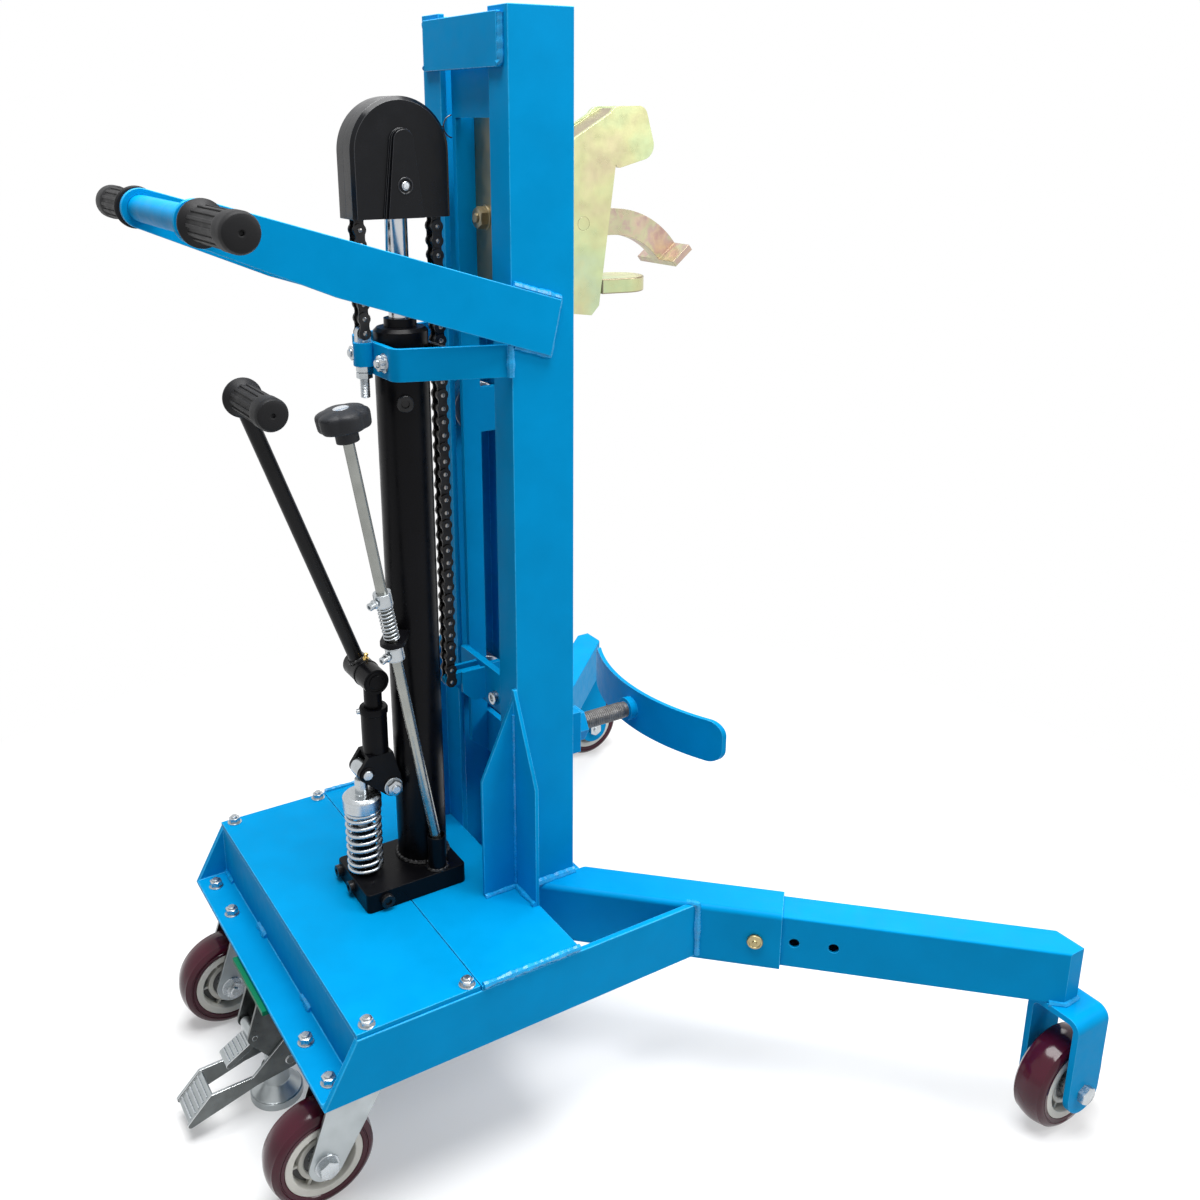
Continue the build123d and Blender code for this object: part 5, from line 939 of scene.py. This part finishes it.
def hood_trim():
    """Upper step of the hood's rib, the screw in its dish, and a wire hook at the front."""
    made = Shape()
    outline = [(-RIB_FOOT, RIB_LOW), (RIB_FOOT, RIB_LOW), *arc(0, RIB_SHOULDER, RIB_HEAD, 0, 180, 18)]
    back, front = RIB_FACES
    for sign in SIDES.values():
        upright = Matrix(((1, 0, 0, 0), (0, 0, sign, 0), (0, 1, 0, 0), (0, 0, 0, 1)))
        place = Matrix.Translation(at(CYLINDER_X, 0, HOOD_Z)) @ upright
        made.add(prism(mm(*outline), back * MM, front * MM), PLASTIC, place)
        dish = place @ Matrix.Translation((0, DISH_DROP * MM, 0))
        made.add(ring_lathe(mm((9.4, 29.4), (9.0, 30.4), (7.8, 30.6), (6.4, 29.4)), 40), PLASTIC, dish)
        made.add(lathe(mm((4.8, 29.5), (4.8, 30.4), (3.6, 31.4), (0, 31.9)), 28), CAP, dish)
    low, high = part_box("chain_hood_right")
    crown = (high.x - low.x) / 2
    hook = at(*HOOK_AT)
    flank = low.x + crown + sqrt(crown ** 2 - (hook.z - high.z + crown) ** 2)
    bend = [hook + Vector((x, 0, z)) for x, z in mm(*arc(0, 0, HOOK_R, 100, 260, 20))]
    stem = [Vector((flank - 2 * MM, hook.y, hook.z)), hook - Vector((HOOK_R * MM, 0, 0))]
    for path in (bend, stem):
        made.add(tube(path, HOOK_WIRE * MM, 8), ZINC)
    # The trim's rounded edges take the lighter black plastic: a painted highlight.
    made.piece("hood_trim", "ram", "black_plastic", bevel=1.2, edge=PLASTIC_EDGE_HIGHLIGHT)


RIDGES = 5
RIDGES_FROM, RIDGES_SPAN = 0.12, 0.76


def pedal_ridges():
    """Ridges on the treads of the floor lock's two pedals, from the tread's rear to its front in X and Z."""
    for name, body, rear, front, proud, half in (
            ("lock_tread_ridges", "lock_pedal", (-417, 26), (-389, 54), 2.2, 20),
            ("release_tread_ridges", "lock_release", (-362, 80), (-334, 96.8), 4.1, 13)):
        made = Shape()
        run = Vector((front[0] - rear[0], 0, front[1] - rear[1]))
        normal = Vector((-run.z, 0, run.x)).normalized()
        end = Vector((0, half * MM, 0))
        for k in range(RIDGES):
            share = RIDGES_FROM + RIDGES_SPAN * k / (RIDGES - 1)
            centre = at(rear[0] + run.x * share, 0, rear[1] + run.z * share) + normal * proud * MM
            made.add(tube([centre - end, centre, centre + end], 1.4 * MM, 10), ZINC)
        made.piece(name, body, "zinc", bevel=0.3)


# Weld beads: radius, then the corners of the run on the left side
FRAME_WELDS = (
    (4.2, (-4, 86, 1237), (-1.5, 88.5, 1240), (-1.5, 88.5, 1286)),
    (4.4, (2, 101.5, 1013), (61.5, 101.5, 994.5)),
    (3.0, (61.5, 101.5, 994), (47.5, 101.5, 931), (2, 101.5, 946)),
    (4.4, (-1.5, 99.8, 912), (-1.5, 99.8, 948)),
    (3.4, (-50, 101.3, 259), (-6, 101.3, 259)),
    (3.4, (-6, 102, 260), (-6, 150, 260)),
    (2.2, (-5.6, 101.2, 262), (-5.6, 101.2, 500)),
    (4.2, (-128, 244, 257.5), (0, 244, 257.5)),
    (4.4, (163, 235.5, 252.5), (173, 245.5, 252), (173.5, 246, 179)),
    (5.0, (24, 101.5, 252), (80, 101.5, 252)),
    (4.8, (-280, 94, 184), (-280, 66, 184)),
    (3.4, (-281, 240, 183), (-281, 205, 183)))
FORK_WELD = (3.6, (481, 536, 174.5), (494, 548.5, 174.5), (517.2, 548.5, 174.5), (517.2, 512, 174.5))
WELD_STEP = 1.6
WELD_LUMPS, WELD_LUMP_SCALE = 0.42, 62
WELD_RIPPLE, WELD_RIPPLE_SCALE = 0.22, 190


def weld(made, sign, radius, *corners):
    """Weld bead along straight runs on one side of the part, with an uneven, stepped thickness."""
    points = [at(x, sign * y, z) for x, y, z in corners]
    path = []
    for start, end in zip(points, points[1:]):
        count = max(2, int((end - start).length / (WELD_STEP * MM)))
        path += [start.lerp(end, k / count) for k in range(count)]
    path.append(points[-1])

    def thickness(k):
        lumps = WELD_LUMPS * noise.noise(path[k] * WELD_LUMP_SCALE)
        return 1 + lumps + WELD_RIPPLE * noise.noise(path[k] * WELD_RIPPLE_SCALE)

    # The bead's lighter blue is a painted highlight.
    made.add(tube(path, radius * MM, 8, thickness), BLUE_WELD_HIGHLIGHT)


def frame_welds():
    made = Shape()
    for sign in SIDES.values():
        for bead in FRAME_WELDS:
            weld(made, sign, *bead)
    made.piece("frame_welds", "base", "blue_paint")
    for side, sign in SIDES.items():
        tip = Shape()
        weld(tip, sign, *FORK_WELD)
        tip.piece(f"fork_weld_{side}", f"leg_{side}", "blue_paint")


def band_thread():
    """Thread of the belly band's stud between its collar and the bracket."""
    start = Vector((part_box("belly_band")[0].x + 3 * MM, 0, middle("belly_band").z))
    thread = screw_thread(11.7 * MM, 1.2 * MM, 3.0 * MM, 128 * MM, 32)
    Shape().add(thread, STUD, along(start, (1, 0, 0))).piece("band_stud_thread", "band", "blue_paint")


# Camera, light and floor: angles in degrees, lamps and floor in metres, a lamp's size and then its power
CAMERA_FROM = at(-644.7, -1261.2, 1183.5)
CAMERA_YAW = 58.31
CAMERA_PITCH = -18.19
CAMERA_LENS = 36.56
CAMERA_SENSOR = 36.0
CAMERA_SHIFT = (0.0268, -0.0678)
LIGHT_AIM = Vector((0.0, 0.0, 0.55))
LIGHTS = (("key", (1.8, -2.2, 2.3), 1.3, 40),
          ("top", (-0.15, -0.2, 3.3), 2.2, 160),
          ("rim", (2.4, 1.4, 2.2), 1.6, 26))
WORLD_COLOUR = (0.97, 0.985, 1.0, 1)
WORLD_STRENGTH = 0.24
WHITE = (1, 1, 1, 1)
FLOOR_HALF = 12.0
FLOOR_TONES = (0.90, 0.93)
FLOOR_BOUNCE = (0.5, 0.5, 0.5, 1)
SHADOW_REACH = (0.45, 1.3)
SHADOW_WHITE = 0.3


def camera():
    data = bpy.data.cameras.new("camera")
    data.lens = CAMERA_LENS
    data.sensor_width = CAMERA_SENSOR
    data.shift_x, data.shift_y = CAMERA_SHIFT
    made = bpy.data.objects.new("camera", data)
    yaw, pitch = radians(CAMERA_YAW), radians(CAMERA_PITCH)
    look = Vector((cos(pitch) * cos(yaw), cos(pitch) * sin(yaw), sin(pitch)))
    made.location = CAMERA_FROM
    made.rotation_euler = look.to_track_quat("-Z", "Y").to_euler()
    bpy.context.scene.collection.objects.link(made)
    bpy.context.scene.camera = made


def area_light(name, place, size, power):
    data = bpy.data.lights.new(name, "AREA")
    data.shape = "DISK"
    data.size = size
    data.energy = power
    made = bpy.data.objects.new(name, data)
    made.location = place
    made.rotation_euler = (LIGHT_AIM - Vector(place)).to_track_quat("-Z", "Y").to_euler()
    bpy.context.scene.collection.objects.link(made)


def math_node(tree, operation, first, second):
    made = tree.nodes.new("ShaderNodeMath")
    made.operation = operation
    tree.links.new(first, made.inputs[0])
    tree.links.new(second, made.inputs[1])
    return made.outputs[0]


def mix_shaders(tree, share, first, second, output):
    mix = tree.nodes.new("ShaderNodeMixShader")
    tree.links.new(share, mix.inputs["Fac"])
    tree.links.new(first.outputs[0], mix.inputs[1])
    tree.links.new(second.outputs[0], mix.inputs[2])
    tree.links.new(mix.outputs[0], tree.nodes[output].inputs["Surface"])


def backdrop_share(tree):
    """1 for rays that show the background itself or its reflection."""
    rays = tree.nodes.new("ShaderNodeLightPath").outputs
    seen = math_node(tree, "MAXIMUM", rays["Is Camera Ray"], rays["Is Glossy Ray"])
    return math_node(tree, "MAXIMUM", seen, rays["Is Transmission Ray"])


def world_light():
    """Soft light all round, behind a backdrop that shows as white."""
    world = bpy.data.worlds.new("studio")
    bpy.context.scene.world = world
    world.use_nodes = True
    tree = world.node_tree
    soft = tree.nodes["Background"]
    soft.inputs["Color"].default_value = WORLD_COLOUR
    soft.inputs["Strength"].default_value = WORLD_STRENGTH
    white = node(tree, "ShaderNodeBackground", Color=WHITE, Strength=1.0)
    mix_shaders(tree, backdrop_share(tree), soft, white, "World Output")


def floor():
    """Pale floor: it fades to white away from the object, keeps its shadow and sends up little light."""
    mat, tree, bsdf = shader("floor")
    bsdf.inputs["Roughness"].default_value = 0.9
    dark, light = FLOOR_TONES
    tone = ramp(tree, noise_at(tree, 3.0), [(NOISE_LOW, (dark,) * 3), (NOISE_HIGH, (light,) * 3)])
    bounce = node(tree, "ShaderNodeMixRGB", Color1=FLOOR_BOUNCE)
    tree.links.new(backdrop_share(tree), bounce.inputs["Fac"])
    tree.links.new(tone, bounce.inputs["Color2"])
    tree.links.new(bounce.outputs["Color"], bsdf.inputs["Base Color"])
    where = tree.nodes.new("ShaderNodeTexCoord")
    length = tree.nodes.new("ShaderNodeVectorMath")
    length.operation = "LENGTH"
    tree.links.new(where.outputs["Object"], length.inputs[0])
    near, far = SHADOW_REACH
    fade = node(tree, "ShaderNodeMapRange", From_Min=near, From_Max=far, To_Min=SHADOW_WHITE, To_Max=1.0)
    tree.links.new(length.outputs["Value"], fade.inputs["Value"])
    share = math_node(tree, "MULTIPLY", fade.outputs["Result"], backdrop_share(tree))
    white = node(tree, "ShaderNodeEmission", Color=WHITE, Strength=1.0)
    mix_shaders(tree, share, bsdf, white, "Material Output")
    data = bpy.data.meshes.new("floor")
    corners = ((-1, -1), (1, -1), (1, 1), (-1, 1))
    data.from_pydata([(x * FLOOR_HALF, y * FLOOR_HALF, 0) for x, y in corners], [], [(0, 1, 2, 3)])
    data.materials.append(mat)
    made = bpy.data.objects.new("floor", data)
    bpy.context.scene.collection.objects.link(made)


def studio():
    for light in LIGHTS:
        area_light(*light)
    world_light()
    floor()
    camera()
    bpy.context.scene.view_settings.view_transform = "Standard"


for build in (dress_solids, wheels, chain, springs, grips, deck_fixings, axle_bolts, strap_bolts, clamp_nuts,
              leg_pin_heads, knob, rod_screws, rocker_fittings, lever_fittings, cylinder_fittings,
              chain_fittings, hood_trim, pedal_ridges, frame_welds, band_thread, studio):
    build()
